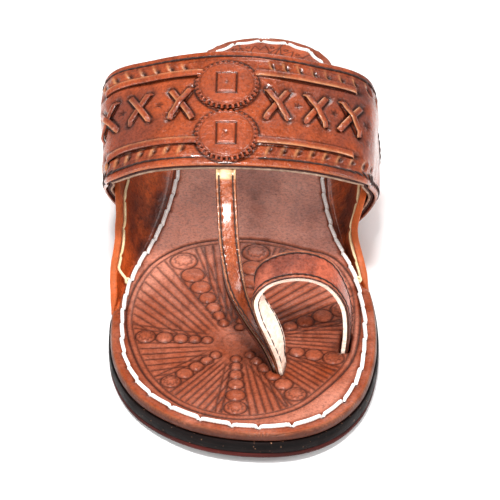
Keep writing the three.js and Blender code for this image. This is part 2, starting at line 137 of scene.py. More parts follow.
EAR_THREAD = {  # y, x, z along each ear
    -1: [(-34, -45.9, 13.2), (-26, -47.6, 15.8), (-15, -49, 20), (0, -49, 23.5), (15, -46.5, 25),
         (30, -46, 25), (45, -45, 24), (60, -42.6, 23.5), (80, -37.2, 21.5), (92, -30.0, 19.4)],
    1: [(-31, 42.0, 13.2), (-22, 41.2, 14.8), (-12, 40.6, 17), (-3, 41.9, 20.5), (5, 43.2, 24), (15, 47, 26),
        (30, 49, 24), (45, 48, 23), (60, 45.4, 22.5), (80, 40.6, 20.8), (92, 35.0, 19.4)],
}

# ------------------------------------------------------------------ curves and surfaces


def metres(points):
    return (np.asarray(points, float) + ORIGIN_SHIFT) * 0.001


def smooth(value):
    t = np.clip(value, 0.0, 1.0)
    return t * t * (3 - 2 * t)


def unit(vectors):
    return vectors / np.maximum(np.linalg.norm(vectors, axis=-1, keepdims=True), 1e-9)


class Route:
    """A smooth curve through points, read from 0 to 1."""

    def __init__(self, points, closed=False):
        self.points = np.array(points, float)
        self.closed = closed

    def at(self, where):
        where = np.asarray(where, float)
        points, count = self.points, len(self.points)
        position = where.ravel() * (count if self.closed else count - 1)
        if self.closed:
            start = np.floor(position).astype(int)
            part = position - start
            p0, p1, p2, p3 = (points[(start + k) % count] for k in (-1, 0, 1, 2))
        else:
            start = np.clip(np.floor(position).astype(int), 0, count - 2)
            part = position - start
            padded = np.vstack([2 * points[0] - points[1], points, 2 * points[-1] - points[-2]])
            p0, p1, p2, p3 = (padded[start + k] for k in (0, 1, 2, 3))
        d0, d1, d2 = (np.maximum(np.linalg.norm(b - a, axis=1), 1e-6)[:, None] ** 0.5
                      for a, b in ((p0, p1), (p1, p2), (p2, p3)))
        t1 = ((p1 - p0) / d0 - (p2 - p0) / (d0 + d1) + (p2 - p1) / d1) * d1
        t2 = ((p2 - p1) / d1 - (p3 - p1) / (d1 + d2) + (p3 - p2) / d2) * d1
        w = part[:, None]
        curve = p1 + t1 * w + (3 * (p2 - p1) - 2 * t1 - t2) * w ** 2 + (2 * (p1 - p2) + t1 + t2) * w ** 3
        return curve.reshape(where.shape + (points.shape[1],))

    def even(self, count):
        """Points at equal steps along the curve, and its length."""
        fine = self.at(np.linspace(0, 1, 4001))
        run = np.concatenate([[0], np.cumsum(np.linalg.norm(np.diff(fine, axis=0), axis=1))])
        steps = np.linspace(0, run[-1], count + 1)[:-1] if self.closed else np.linspace(0, run[-1], count)
        return np.stack([np.interp(steps, run, fine[:, k]) for k in range(fine.shape[1])], 1), run[-1]


class Ribbon:
    """A strip of leather between two edges. along and across run from 0 to 1, height stands off its middle."""

    def __init__(self, edge_a, edge_b, crown=0.0, facing=1):
        self.edge_a, self.edge_b, self.crown, self.facing = Route(edge_a), Route(edge_b), crown, facing
        self.fine = np.linspace(0, 1, 1201)
        middle = self.flat(self.fine, np.full(1201, 0.5))
        self.run = np.concatenate([[0], np.cumsum(np.linalg.norm(np.diff(middle, axis=0), axis=1))])

    def flat(self, along, across):
        a, b = self.edge_a.at(along), self.edge_b.at(along)
        return a + (b - a) * across[..., None]

    def width(self, along):
        return np.linalg.norm(self.edge_b.at(along) - self.edge_a.at(along), axis=-1)

    def place(self, along, across, height=0.0):
        along, across, height = np.broadcast_arrays(*(np.asarray(v, float) for v in (along, across, height)))
        along = np.clip(along, 0, 1)
        before, after = np.maximum(along - 0.004, 0), np.minimum(along + 0.004, 1)
        lengthwise = self.flat(after, across) - self.flat(before, across)
        crosswise = self.edge_b.at(along) - self.edge_a.at(along)
        normal = unit(np.cross(crosswise, lengthwise)) * self.facing
        lift = self.crown * 4 * across * (1 - across) + height
        return self.flat(along, across) + normal * lift[..., None], normal

    def along_at(self, mm):
        return np.interp(mm, self.run, self.fine)


def grid_faces(rows, cols, close_cols=False):
    """Four-sided faces between the points of a grid, joined from its last column to its first if asked."""
    i, j = np.meshgrid(np.arange(rows - 1), np.arange(cols - 1 + close_cols), indexing="ij")
    i2, j2 = i + 1, (j + 1) % cols
    corners = [i * cols + j, i2 * cols + j, i2 * cols + j2, i * cols + j2]
    return np.stack(corners, -1).reshape(-1, 4).tolist()


def loft(loops):
    """Closed solid through closed loops of points, capped at both ends."""
    n, m = loops.shape[:2]
    faces = grid_faces(n, m, close_cols=True)
    faces += [list(range(m)), list(range((n - 1) * m, n * m))]
    return loops.reshape(-1, 3), faces


def together(parts):
    """Several solids as one list of points and faces."""
    points, faces, count = [], [], 0
    for some_points, some_faces in parts:
        points.append(some_points)
        faces += [[k + count for k in face] for face in some_faces]
        count += len(some_points)
    return np.vstack(points), faces


def keep_numbers(mesh, label, values):
    """Stores one number for each of a mesh's points."""
    numbers = np.asarray(values, np.float32).ravel()
    mesh.attributes.new(label, "FLOAT", "POINT").data.foreach_set("value", numbers)


def make_piece(name, points, faces, finish, slot, stands_for=(), weld=0.0, **marks):
    """One closed piece in its leather. The marks say point by point where tooling and painted shade darken it,
    where wear and painted glints lighten it, and where it is stained.
    """
    mesh = bpy.data.meshes.new(name)
    mesh.from_pydata(metres(points).tolist(), [], faces)
    for mark, values in marks.items():
        keep_numbers(mesh, mark, values)
    shape = bmesh.new()
    shape.from_mesh(mesh)
    if weld:
        bmesh.ops.remove_doubles(shape, verts=shape.verts, dist=weld * 0.001)
    bmesh.ops.recalc_face_normals(shape, faces=shape.faces)
    shape.to_mesh(mesh)
    shape.free()
    mesh.shade_smooth()
    mesh.materials.append(finish)
    return settle(bpy.data.objects.new(name, mesh), stands_for)


def settle(piece, stands_for=()):
    """Puts a finished piece in the scene, on the sandal's one body."""
    if piece.name not in bpy.context.scene.collection.objects:
        bpy.context.scene.collection.objects.link(piece)
    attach(piece, "root")
    if stands_for:
        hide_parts(*stands_for)
    return piece


# ------------------------------------------------------------------ finishes


def dye(red, green, blue):
    """A leather colour from a swatch's 0 to 255 numbers."""
    def light(c):
        return c / 255 / 12.92 if c < 10.3 else ((c / 255 + 0.055) / 1.055) ** 2.4

    return light(red), light(green), light(blue), 1.0


class Finish:
    """Lays out one material, node by node."""

    def __init__(self, name, **sockets):
        self.material = bpy.data.materials.new(name)
        self.material.use_nodes = True
        self.nodes, self.links = self.material.node_tree.nodes, self.material.node_tree.links
        self.surface = self.nodes["Principled BSDF"]
        for socket, value in sockets.items():
            self.surface.inputs[socket.replace("_", " ")].default_value = value
        self.place = self.nodes.new("ShaderNodeTexCoord").outputs["Object"]

    def put(self, socket, value):
        if isinstance(value, bpy.types.NodeSocket):
            self.links.new(value, socket)
        else:
            socket.default_value = value

    def stretched(self, x, y, z):
        mapping = self.nodes.new("ShaderNodeMapping")
        mapping.inputs["Scale"].default_value = (x, y, z)
        self.links.new(self.place, mapping.inputs["Vector"])
        return mapping.outputs[0]

    def noise(self, scale, detail=4.0, rough=0.5, where=None):
        texture = self.nodes.new("ShaderNodeTexNoise")
        self.links.new(where or self.place, texture.inputs["Vector"])
        for socket, value in (("Scale", scale), ("Detail", detail), ("Roughness", rough)):
            texture.inputs[socket].default_value = value
        return texture.outputs["Fac"]

    def cells(self, scale):
        """Distance to the edges between cells."""
        texture = self.nodes.new("ShaderNodeTexVoronoi")
        texture.feature = "DISTANCE_TO_EDGE"
        self.links.new(self.place, texture.inputs["Vector"])
        texture.inputs["Scale"].default_value = scale
        return texture.outputs["Distance"]

    def span(self, value, low, high, start=0.0, end=1.0):
        ranged = self.nodes.new("ShaderNodeMapRange")
        self.put(ranged.inputs["Value"], value)
        for k, number in zip((1, 2, 3, 4), (low, high, start, end)):
            ranged.inputs[k].default_value = number
        return ranged.outputs[0]

    def maths(self, operation, a, b=0.0):
        sum_ = self.nodes.new("ShaderNodeMath")
        sum_.operation = operation
        self.put(sum_.inputs[0], a)
        self.put(sum_.inputs[1], b)
        return sum_.outputs[0]

    def mix(self, amount, under, over, way="MIX"):
        blend = self.nodes.new("ShaderNodeMix")
        blend.data_type, blend.blend_type = "RGBA", way
        self.put(blend.inputs[0], amount)
        self.put(blend.inputs[6], under)
        self.put(blend.inputs[7], over)
        return blend.outputs[2]

    def mark(self, name):
        attribute = self.nodes.new("ShaderNodeAttribute")
        attribute.attribute_name = name
        return attribute.outputs["Fac"]

    def bump(self, height, strength, depth, under=None):
        bump = self.nodes.new("ShaderNodeBump")
        bump.inputs["Strength"].default_value = strength
        bump.inputs["Distance"].default_value = depth
        self.put(bump.inputs["Height"], height)
        if under is not None:
            self.put(bump.inputs["Normal"], under)
        return bump.outputs[0]

    def done(self, colour, rough, normal=None):
        self.put(self.surface.inputs["Base Color"], colour)
        self.put(self.surface.inputs["Roughness"], rough)
        if normal is not None:
            self.put(self.surface.inputs["Normal"], normal)
        return self.material


def leather(name, deep, plain, light, stain, gloss, coat, grain=0.5, blotch=32.0,
            rub_and_glint=(236, 170, 120), smoke=(104, 58, 50)):
    """Vegetable-tanned leather: uneven dye, dark tooled lines and painted shade, stains, pale wear and painted
    glints, pores and fine creases.
    """
    f = Finish(name, Coat_Weight=coat, Coat_Roughness=0.12, Specular_IOR_Level=0.28)
    patches = f.span(f.noise(blotch, 6, 0.62), 0.42, 0.58)
    colour = f.mix(patches, plain, light)
    smoky = f.span(f.noise(blotch * 1.4, 5, 0.62, f.stretched(1.25, 0.8, 1)), 0.44, 0.6, 0.0, 0.9)
    smoky = f.maths("MULTIPLY", smoky, f.span(f.mark("stain"), 0.0, 0.8, 1.0, 0.45))
    colour = f.mix(smoky, colour, dye(*smoke))
    streaks = f.span(f.noise(110, 5, 0.7, f.stretched(1.5, 0.6, 1)), 0.5, 0.7, 0.0, 0.7)
    streaks = f.maths("MULTIPLY", streaks, f.span(f.mark("stain"), 0.0, 0.5, 0.3, 1.0))
    colour = f.mix(streaks, colour, deep)
    pooled = f.maths("MULTIPLY", f.mark("stain"), f.span(f.noise(60, 5, 0.6), 0.34, 0.58, 0.6, 1.0))
    colour = f.mix(pooled, colour, stain)
    pores = f.span(f.noise(900, 3, 0.75), 0.34, 0.6, 0.6, 1.1)
    colour = f.mix(1.0, colour, f.mix(pores, (0, 0, 0, 1), (1, 1, 1, 1)), "MULTIPLY")
    flecks = f.span(f.noise(360, 4, 0.75), 0.62, 0.72, 0.0, 0.5)
    colour = f.mix(flecks, colour, deep)
    # pale colour for real wear and for painted glints
    rub_and_glare = f.maths("MULTIPLY", f.mark("worn"), f.span(f.noise(260, 3), 0.35, 0.6, 0.5, 1.0))
    colour = f.mix(rub_and_glare, colour, dye(*rub_and_glint))
    # the deep colour paints tooled lines and painted shade
    colour = f.mix(f.mark("pressed"), colour, deep)
    rough = f.span(f.noise(120, 4), 0.3, 0.7, gloss - 0.1, gloss + 0.12)
    creases = f.cells(420)
    normal = f.bump(f.span(creases, 0.0, 0.12), grain * 0.4, 0.00015)
    normal = f.bump(f.noise(1400, 3, 0.65), grain * 0.6, 0.00015, normal)
    normal = f.bump(f.noise(130, 5, 0.65), 0.8, 0.0014, normal)
    return f.done(colour, rough, normal)


def raw_leather(name, plain, dark, scale=420.0):
    """Undyed flesh side or a cut edge: matt, with short fibres."""
    f = Finish(name, Specular_IOR_Level=0.25)
    fibres = f.span(f.noise(scale, 5, 0.7, f.stretched(1, 1, 2.2)), 0.32, 0.68)
    colour = f.mix(fibres, dark, plain)
    colour = f.mix(f.span(f.noise(60, 4), 0.4, 0.72, 0.0, 0.5), colour, dark)
    colour = f.mix(f.mark("pressed"), colour, dye(70, 40, 30))
    return f.done(colour, 0.82, f.bump(fibres, 0.6, 0.0003))


def sole_edge(name, plain, dark, fleck, layers):
    """Stacked, dyed and rubbed sole leather, seen mostly on its cut edge."""
    f = Finish(name, Coat_Weight=0.02, Coat_Roughness=0.3, Specular_IOR_Level=0.14)
    seams = f.noise(layers, 3, 0.6, f.stretched(0.04, 0.04, 1))
    colour = f.mix(f.span(seams, 0.35, 0.65), dark, plain)
    colour = f.mix(f.span(f.noise(34, 5), 0.45, 0.72, 0.0, 0.6), colour, dark)
    colour = f.mix(f.span(f.noise(700, 2, 0.8), 0.68, 0.74, 0.0, 0.75), colour, fleck)
    colour = f.mix(f.mark("pressed"), colour, dark)
    rough = f.span(f.noise(200, 4), 0.3, 0.7, 0.42, 0.66)
    normal = f.bump(seams, 0.35, 0.0005)
    return f.done(colour, rough, f.bump(f.noise(900, 3, 0.7), 0.45, 0.0002, normal))


def waxed_thread(name, plain, shade, twist=1400.0):
    """Twisted cord, its strands wound round its own length."""
    f = Finish(name, Specular_IOR_Level=0.4, Sheen_Weight=0.15)
    lengthwise = f.maths("MULTIPLY", f.mark("cord_run"), twist)
    around = f.maths("MULTIPLY", f.mark("cord_round"), 2.0)
    winding = f.maths("ADD", lengthwise, around)
    strands = f.maths("ABSOLUTE", f.maths("SINE", f.maths("MULTIPLY", winding, math.pi)))
    # painted shade in the hollows between the strands
    colour = f.mix(f.span(strands, 0.0, 0.45, 0.55, 0.0), plain, shade)
    colour = f.mix(f.span(f.noise(180, 4), 0.48, 0.75, 0.0, 0.55), colour, shade)
    return f.done(colour, 0.55, f.bump(strands, 0.55, 0.0004))


BAND_LEATHER = leather("band_leather", dye(22, 6, 4), dye(148, 70, 40), dye(170, 84, 50), dye(166, 78, 38),
                       0.26, 0.45, 0.9, 26.0)
# the strap's near-white pale colour also paints its glare
STRAP_LEATHER = leather("strap_leather", dye(30, 9, 5), dye(150, 74, 42), dye(168, 92, 60), dye(176, 86, 40),
                        0.2, 0.6, 0.5, 32.0, (244, 206, 160))
RING_LEATHER = leather("ring_leather", dye(36, 12, 7), dye(184, 98, 74), dye(200, 116, 92), dye(190, 98, 64),
                       0.3, 0.25, 0.6)
FOOTBED_LEATHER = leather("footbed_leather", dye(46, 16, 10), dye(206, 132, 108), dye(218, 146, 122),
                          dye(146, 66, 30), 0.42, 0.08, 0.5, 24.0, (220, 150, 110), (180, 108, 86))
PATCH_LEATHER = leather("heel_patch_leather", dye(50, 18, 9), dye(172, 84, 46), dye(190, 102, 62),
                        dye(200, 90, 36), 0.42, 0.08, 0.4)
EAR_LEATHER = leather("ear_leather", dye(48, 17, 9), dye(208, 100, 52), dye(228, 120, 68), dye(228, 108, 48),
                      0.38, 0.15, 0.5, 32.0, (176, 96, 56))
STRAP_BACK_LEATHER = raw_leather("strap_back_leather", dye(92, 44, 28), dye(44, 20, 14))
LINING_LEATHER = raw_leather("lining_leather", dye(255, 240, 230), dye(230, 194, 172))
UNDERSIDE_LEATHER = raw_leather("band_lining_leather", dye(196, 170, 150), dye(128, 100, 84), 300.0)
FILLER_LEATHER = raw_leather("filler_leather", dye(96, 66, 62), dye(56, 36, 34), 600.0)
MIDSOLE_LEATHER = sole_edge("midsole_leather", dye(27, 15, 14), dye(11, 7, 7), dye(190, 140, 110), 900.0)
OUTSOLE_LEATHER = sole_edge("outsole_leather", dye(84, 34, 30), dye(46, 20, 18), dye(140, 84, 62), 1200.0)
HEEL_LEATHER = sole_edge("heel_leather", dye(142, 68, 48), dye(80, 38, 30), dye(176, 110, 80), 520.0)
WHITE_THREAD = waxed_thread("white_thread", dye(255, 254, 252), dye(224, 208, 200), 900.0)
CREAM_THREAD = waxed_thread("cream_thread", dye(250, 232, 190), dye(206, 168, 112))
BROWN_THREAD = waxed_thread("brown_thread", dye(66, 30, 20), dye(30, 14, 11))

# ------------------------------------------------------------------ sole

sole_route = Route(SOLE_EDGE, closed=True)
EDGE, _ = sole_route.even(480)
MIDDLE_RINGS = 7  # rings of faces between a sole layer's rim and its middle line


def inward(loop):
    """The way into the shoe at each point of a closed outline."""
    ahead = unit(np.roll(loop, -1, 0) - np.roll(loop, 1, 0))
    return np.stack([-ahead[:, 1], ahead[:, 0]], 1)


def inset_edge(distance):
    """The sole's outline, drawn in by a distance."""
    return EDGE + inward(EDGE) * distance


def sole_base(y):
    """Height of the outsole's underside, raised at the heel and sprung at the toe."""
    y = np.asarray(y, float)
    raised = HEEL_RAISE * smooth((y - RAISE_START) / (RAISE_END - RAISE_START))
    return raised + TOE_SPRING * np.maximum(0, (SPRING_START - y) / (HALF_LENGTH + SPRING_START)) ** 2


def side_x(loop, side, y):
    """x of an outline's medial (1) or lateral (-1) side at y."""
    toe, heel = loop[:, 1].argmin(), loop[:, 1].argmax()
    run = np.roll(loop, -toe, 0)
    turn = (heel - toe) % len(loop)
    half = run[:turn + 1] if side > 0 else np.vstack([run[turn:], run[:1]])[::-1]
    order = np.argsort(half[:, 1])
    return np.interp(y, half[order, 1], half[order, 0])


def near_ears(x, y):
    """1 where an ear stands beside the footbed, 0 clear of it."""
    start = np.where(x > 0, EAR_START[1], EAR_START[-1])
    return smooth((y - start + 6) / 6) * smooth((EAR_END + 8 - y) / 8)


def spine_of(loop):
    """For each outline point, the point of the sole's middle line that it faces."""
    y = np.clip(loop[:, 1], -90, 96)
    return np.stack([(side_x(loop, 1, y) + side_x(loop, -1, y)) / 2, y], 1)


def sole_layer(name, rings, finish, slot, stands_for):
    """A layer of sole leather from rings of (inset, height above the base), bottom middle to top middle."""
    spine = spine_of(EDGE)
    first, last = rings[0], rings[-1]
    start, end = inset_edge(first[0]), inset_edge(last[0])
    shares = np.arange(MIDDLE_RINGS) / MIDDLE_RINGS
    plans = [spine + (start - spine) * share for share in shares]
    plans += [inset_edge(inset) for inset, _ in rings]
    plans += [spine + (end - spine) * share for share in shares[::-1]]
    heights = [first[1]] * MIDDLE_RINGS + [height for _, height in rings] + [last[1]] * MIDDLE_RINGS
    points = []
    for plan, height in zip(plans, heights):
        rise = height(plan[:, 0], plan[:, 1]) if callable(height) else sole_base(plan[:, 1]) + height
        points.append(np.column_stack([plan, rise]))
    points = np.array(points)
    faces = grid_faces(len(points), len(EDGE), close_cols=True)
    make_piece(name, points.reshape(-1, 3), faces, finish, slot, stands_for, weld=0.01)


def cut_edge(bottom, top, corner, bulge):
    """Rings up a cut edge with rubbed corners."""
    tall = top - bottom - 2 * corner
    rings = [(6.0, bottom), (corner * 1.2, bottom), (corner * 0.35, bottom + corner * 0.3), (0.0, bottom + corner)]
    rings += [(-bulge * math.sin(part * math.pi), bottom + corner + tall * part) for part in (0.3, 0.5, 0.7)]
    return rings + [(0.0, top - corner), (corner * 0.35, top - corner * 0.3), (corner * 1.2, top), (6.0, top)]


def make_sole():
    """Outsole with a sewing groove underneath, and the midsole, let down where the ears are rooted."""
    groove = [(6.6, 0.0), (6.0, 0.0), (5.7, 0.75), (4.5, 0.75), (4.2, 0.0)]
    sole_layer("outsole_leather_sole", groove + cut_edge(0.0, OUTSOLE, 0.35, 0.15)[1:], OUTSOLE_LEATHER,
               "outsole_leather", ["outsole"])

    def rebated(x, y):
        return sole_base(y) + MIDSOLE_AT + MIDSOLE - (2 * EAR_HALF + 0.3) * near_ears(x, y)

    def below_rebate(depth):
        return lambda x, y: rebated(x, y) - depth

    def between(part):
        return lambda x, y: sole_base(y) + MIDSOLE_AT + (rebated(x, y) - sole_base(y) - MIDSOLE_AT) * part

    rings = cut_edge(MIDSOLE_AT - GAP, MIDSOLE_AT + MIDSOLE, 0.25, 0.3)
    for k in (-4, -3, -2):
        rings[k] = (rings[k][0], below_rebate(MIDSOLE_AT + MIDSOLE - rings[k][1]))
    for k in (5, 6):
        rings[k] = (rings[k][0], between((rings[k][1] - MIDSOLE_AT) / MIDSOLE))
    rings[-1] = (6.3, rebated)
    rings.append((6.7, MIDSOLE_AT + MIDSOLE))
    sole_layer("midsole_leather_sole", rings, MIDSOLE_LEATHER, "midsole_leather", ["midsole"])


def make_heel_lift():
    """Stacked block under the heel with a flat front."""
    heel = EDGE[EDGE[:, 1] > LIFT_FRONT + 0.4]
    across = np.linspace(0, 1, 26)[1:-1, None]
    medial = np.array([side_x(EDGE, 1, LIFT_FRONT), LIFT_FRONT])
    lateral = np.array([side_x(EDGE, -1, LIFT_FRONT), LIFT_FRONT])
    loop = np.vstack([[medial], heel, [lateral], lateral + (medial - lateral) * across])
    centre = np.array([-1.0, 88.0])
    rings = [(0.0, 0), (0.25, 0), (0.5, 0), (0.75, 0), (0.93, 0), (0.985, 0), (0.995, 0.12), (1.0, 0.4)]
    walls = [(1.0, 0.2), (1.003, 0.32), (1.0, 0.36), (0.998, 0.4), (1.002, 0.46), (1.003, 0.62), (1.0, 0.68),
             (0.998, 0.72), (1.002, 0.78), (1.0, 0.93)]
    points = []
    for scale, height in rings:
        plan = centre + (loop - centre) * scale
        points.append(np.column_stack([plan, np.full(len(plan), float(height))]))
    for scale, part in walls:
        plan = centre + (loop - centre) * scale
        points.append(np.column_stack([plan, (sole_base(plan[:, 1]) - GAP) * part]))
    for scale in (0.99, 0.75, 0.5, 0.25, 0.0):
        plan = centre + (loop - centre) * scale
        points.append(np.column_stack([plan, sole_base(plan[:, 1]) - GAP]))
    points = np.array(points)
    make_piece("heel_lift_block", points.reshape(-1, 3), grid_faces(len(points), len(loop), close_cols=True),
               HEEL_LEATHER, "heel_leather", ["heel_lift"], weld=0.01)


# ------------------------------------------------------------------ footbed


class Tooling:
    """Relief tooled into leather: adds up heights and keeps the darkest of its lines, a darkness that stands for
    the tooling and for painted shade in grooves and holes; it also keeps where painted glints go.
    """

    def __init__(self, x):
        self.relief = np.zeros_like(x)
        self.dark = np.zeros_like(x)
        self.worn = np.zeros_like(x)

    def line(self, distance, half, depth, dark=0.85, where=1.0):
        cut = np.exp(-(distance / half) ** 2) * where
        self.relief = np.minimum(self.relief, self.relief * (1 - cut) - depth * cut)
        self.dark = np.maximum(self.dark, cut * dark)

    def paint_glint(self, amount):
        self.worn = np.maximum(self.worn, amount)

    def swell(self, amount):
        self.relief = self.relief + amount


FOOTBED_EDGE = inset_edge((FOOTBED_INSET + FOOTBED_STEP * near_ears(EDGE[:, 0], EDGE[:, 1]))[:, None])
STITCH_LINE = Route(inset_edge(STITCH_INSET)[::8], closed=True)


def edge_gap(x, y):
    """Distance in from the footbed's edge, for points of any shape."""
    flat = np.column_stack([x.ravel(), y.ravel()])
    gap = np.empty(len(flat))
    for start in range(0, len(flat), 8000):
        some = flat[start:start + 8000]
        gap[start:start + 8000] = np.sqrt(((some[:, None] - FOOTBED_EDGE[None]) ** 2).sum(-1)).min(1)
    return gap.reshape(x.shape)


def footbed_top(x, y, gap):
    """Height of the untooled footbed, thinned beside the ears and rubbed round at its edge."""
    ears = near_ears(x, y)
    corner = 1.7 - 1.0 * ears
    inside = np.clip(gap, 0, corner)
    rounding = corner - np.sqrt(np.maximum(corner ** 2 - (corner - inside) ** 2, 0))
    slope = 1.6 * ears * np.clip(1 - gap / 2.2, 0, 1) ** 1.3
    return sole_base(y) + FOOTBED_AT + FOOTBED - rounding - slope


def on_footbed(x, y, lift=0.0):
    x, y = np.asarray(x, float), np.asarray(y, float)
    return np.stack([x, y, footbed_top(x, y, edge_gap(x, y)) + lift], -1)


def stitch_joints():
    """Places round the shoe where the white cord dives through the leather."""
    fine = STITCH_LINE.at(np.linspace(0, 1, 3001))
    run = np.concatenate([[0], np.cumsum(np.linalg.norm(np.diff(fine, axis=0), axis=1))])
    stops, at = [], 3.0
    while at < run[-1] - 5:
        stops.append(at)
        y = np.interp(at, run, fine[:, 1])
        pitch = 9.4 + 2.6 * smooth((-98 - y) / 14) + 2.3 * smooth((y - 108) / 10)
        at += pitch * chance.uniform(0.93, 1.07)
    stops = np.array(stops) * (run[-1] + 3.0) / (stops[-1] + 9.5)
    return np.interp(stops, run, np.linspace(0, 1, 3001))


JOINTS = stitch_joints()
JOINT_POINTS = STITCH_LINE.at(JOINTS)


def bead_chain(angle, rim):
    """Touching beads along a ray from the hub: distance from the hub and radius of each."""
    reach = (rim - 4.4) / 1.072
    beads = []
    while reach > 9:
        radius = 1.4 + 0.07 * reach
        beads.append((reach, radius))
        reach = (reach * 0.93 - 2.8) / 1.07
    return beads


def tool_medallion(work, x, y):
    dx, dy = x - HUB[0], y - HUB[1]
    reach, angle = np.hypot(dx, dy), np.degrees(np.arctan2(dy, dx))
    outline, _ = Route(MEDALLION, closed=True).even(360)
    outline_angle = np.degrees(np.arctan2(outline[:, 1] - HUB[1], outline[:, 0] - HUB[0]))
    outline_reach = np.hypot(outline[:, 0] - HUB[0], outline[:, 1] - HUB[1])
    order = np.argsort(outline_angle)

    def rim_at(degrees):
        return np.interp(degrees, outline_angle[order], outline_reach[order], period=360)

    rim = rim_at(angle)
    inside = smooth((rim - 2.6 - reach) / 0.6)
    work.swell(-0.15 * smooth((rim - reach) / 2))
    for k, low in enumerate(BEAD_CHAINS):
        high = BEAD_CHAINS[(k + 1) % len(BEAD_CHAINS)] + (360 if k + 1 == len(BEAD_CHAINS) else 0)
        start, stop = low + 6.6, high - 6.6
        turn = (angle - start) % 360
        held = inside * (turn < stop - start) * smooth((reach - 7) / 9)
        way = math.radians(start)
        apex = (-50 * math.cos(way), -50 * math.sin(way))
        spread = np.degrees(np.arctan2(dy - apex[1], dx - apex[0])) - start
        spread = (spread + 180) % 360 - 180
        far = np.hypot(dx - apex[0], dy - apex[1])
        pitch = math.degrees((3.5 if high - low > 50 else 2.5) / 82)
        off = (spread / pitch - np.round(spread / pitch)) * math.radians(pitch) * far
        work.line(off, 0.48, 0.5, 0.8, held)
        for degrees, shift in ((start, 0.0), (stop, 0.0), (stop, 2.3)):
            side = -reach * np.sin(np.radians(angle - degrees)) - shift
            front = np.cos(np.radians(angle - degrees)) > 0
            work.line(side, 0.45, 0.5, 0.8, inside * front * smooth((reach - 8) / 8))
    for low in BEAD_CHAINS:
        ray = math.radians(low)
        for place, (out, radius) in enumerate(bead_chain(low, rim_at(low))):
            away = np.hypot(dx - out * math.cos(ray), dy - out * math.sin(ray))
            local = away < radius + 1.2
            work.line(away - radius, 0.42, 0.6, 0.9, local)
            if place == 0:
                around = np.arctan2(dy - out * math.sin(ray), dx - out * math.cos(ray))
                work.line(away - radius * 0.62 - 0.35 * np.sin(9 * around), 0.34, 0.4, 0.7, local)
            work.swell(0.75 * np.clip(1 - (away / (radius - 0.3)) ** 2, 0, 1) ** 0.7)
    work.line(reach - 5.4, 0.45, 0.2, 0.3)
    petals = 2.6 + 0.9 * np.cos(np.radians(angle) * 8)
    work.line(reach - petals, 0.4, 0.2, 0.3)
    work.line(rim - reach, 0.55, 0.6, 0.95)
    work.line(rim - reach - 2.4, 0.42, 0.45, 0.8)


def in_slot(x, y, centre, half_long, half_wide, turn):
    """1 inside a cut slot with round ends, 0 outside."""
    c, s = math.cos(turn), math.sin(turn)
    u, v = (x - centre[0]) * c + (y - centre[1]) * s, -(x - centre[0]) * s + (y - centre[1]) * c
    beyond = np.hypot(np.maximum(np.abs(u) - (half_long - half_wide), 0), v)
    return smooth((half_wide + 0.25 - beyond) / 0.5), beyond - half_wide


DYE_SPOTS = (  # x, y, half width, half length, strength
    (14, -98, 12, 12, 1.0), (32, -95, 12, 14, 1.0), (-6, -108, 26, 12, 0.9), (-30, -84, 14, 14, 0.75),
    (-12, -40, 16, 14, 0.5), (37, -76, 5, 9, 0.4), (0, -118, 26, 9, 0.55), (-44, -30, 6, 16, 0.7),
    (-46, -60, 4, 20, 0.5), (22, -104, 16, 8, 0.5), (4, 20, 5, 40, 0.55), (6, -34, 6, 22, 0.35),
    (44, -45, 5, 30, 0.5), (0, 122, 30, 9, 0.5), (0, 54, 24, 5, 0.4), (-20, -88, 14, 10, 0.35),
)
# painted shade where the strap and the ring stand over the footbed: x, y, half width, half length
PAINTED_SHADE_SPOTS = ((4.0, -84.0, 7.0, 9.0), (9.5, -90.0, 4.5, 7.0), (34.5, -80.0, 3.0, 7.0))
FOOT_SLOTS = (((13.6, -91.2), 5.6, 1.45), ((38.1, -76.0), 6.6, 1.48))  # middle, half length, turn


def footbed_stain(x, y, gap):
    """Where the dye pooled: over the medallion, round the post and the ring's foot, and along the margins."""
    amount = 0.8 * smooth((52 - np.hypot((x - HUB[0]) / 0.92, (y - HUB[1]) / 1.15)) / 10)
    for cx, cy, wide, long, strength in DYE_SPOTS:
        amount = np.maximum(amount, strength * np.exp(-((x - cx) / wide) ** 2 - ((y - cy) / long) ** 2))
    return np.maximum(amount, smooth((9.0 - 4.0 * near_ears(x, y) - gap) / 3.5))


def sewing_channel(work, x, y, gap):
    """The line that the white cord lies in, with a hole at each joint."""
    work.line(gap - (STITCH_INSET - FOOTBED_INSET - FOOTBED_STEP * near_ears(x, y)), 1.0, 0.28, 0.35)
    # painted shade in each stitch hole
    for jx, jy in JOINT_POINTS:
        away = np.hypot(x - jx, y - jy)
        if away.min() < 2.5:
            work.line(away, 1.25, 0.9, 1.0, away < 3.5)


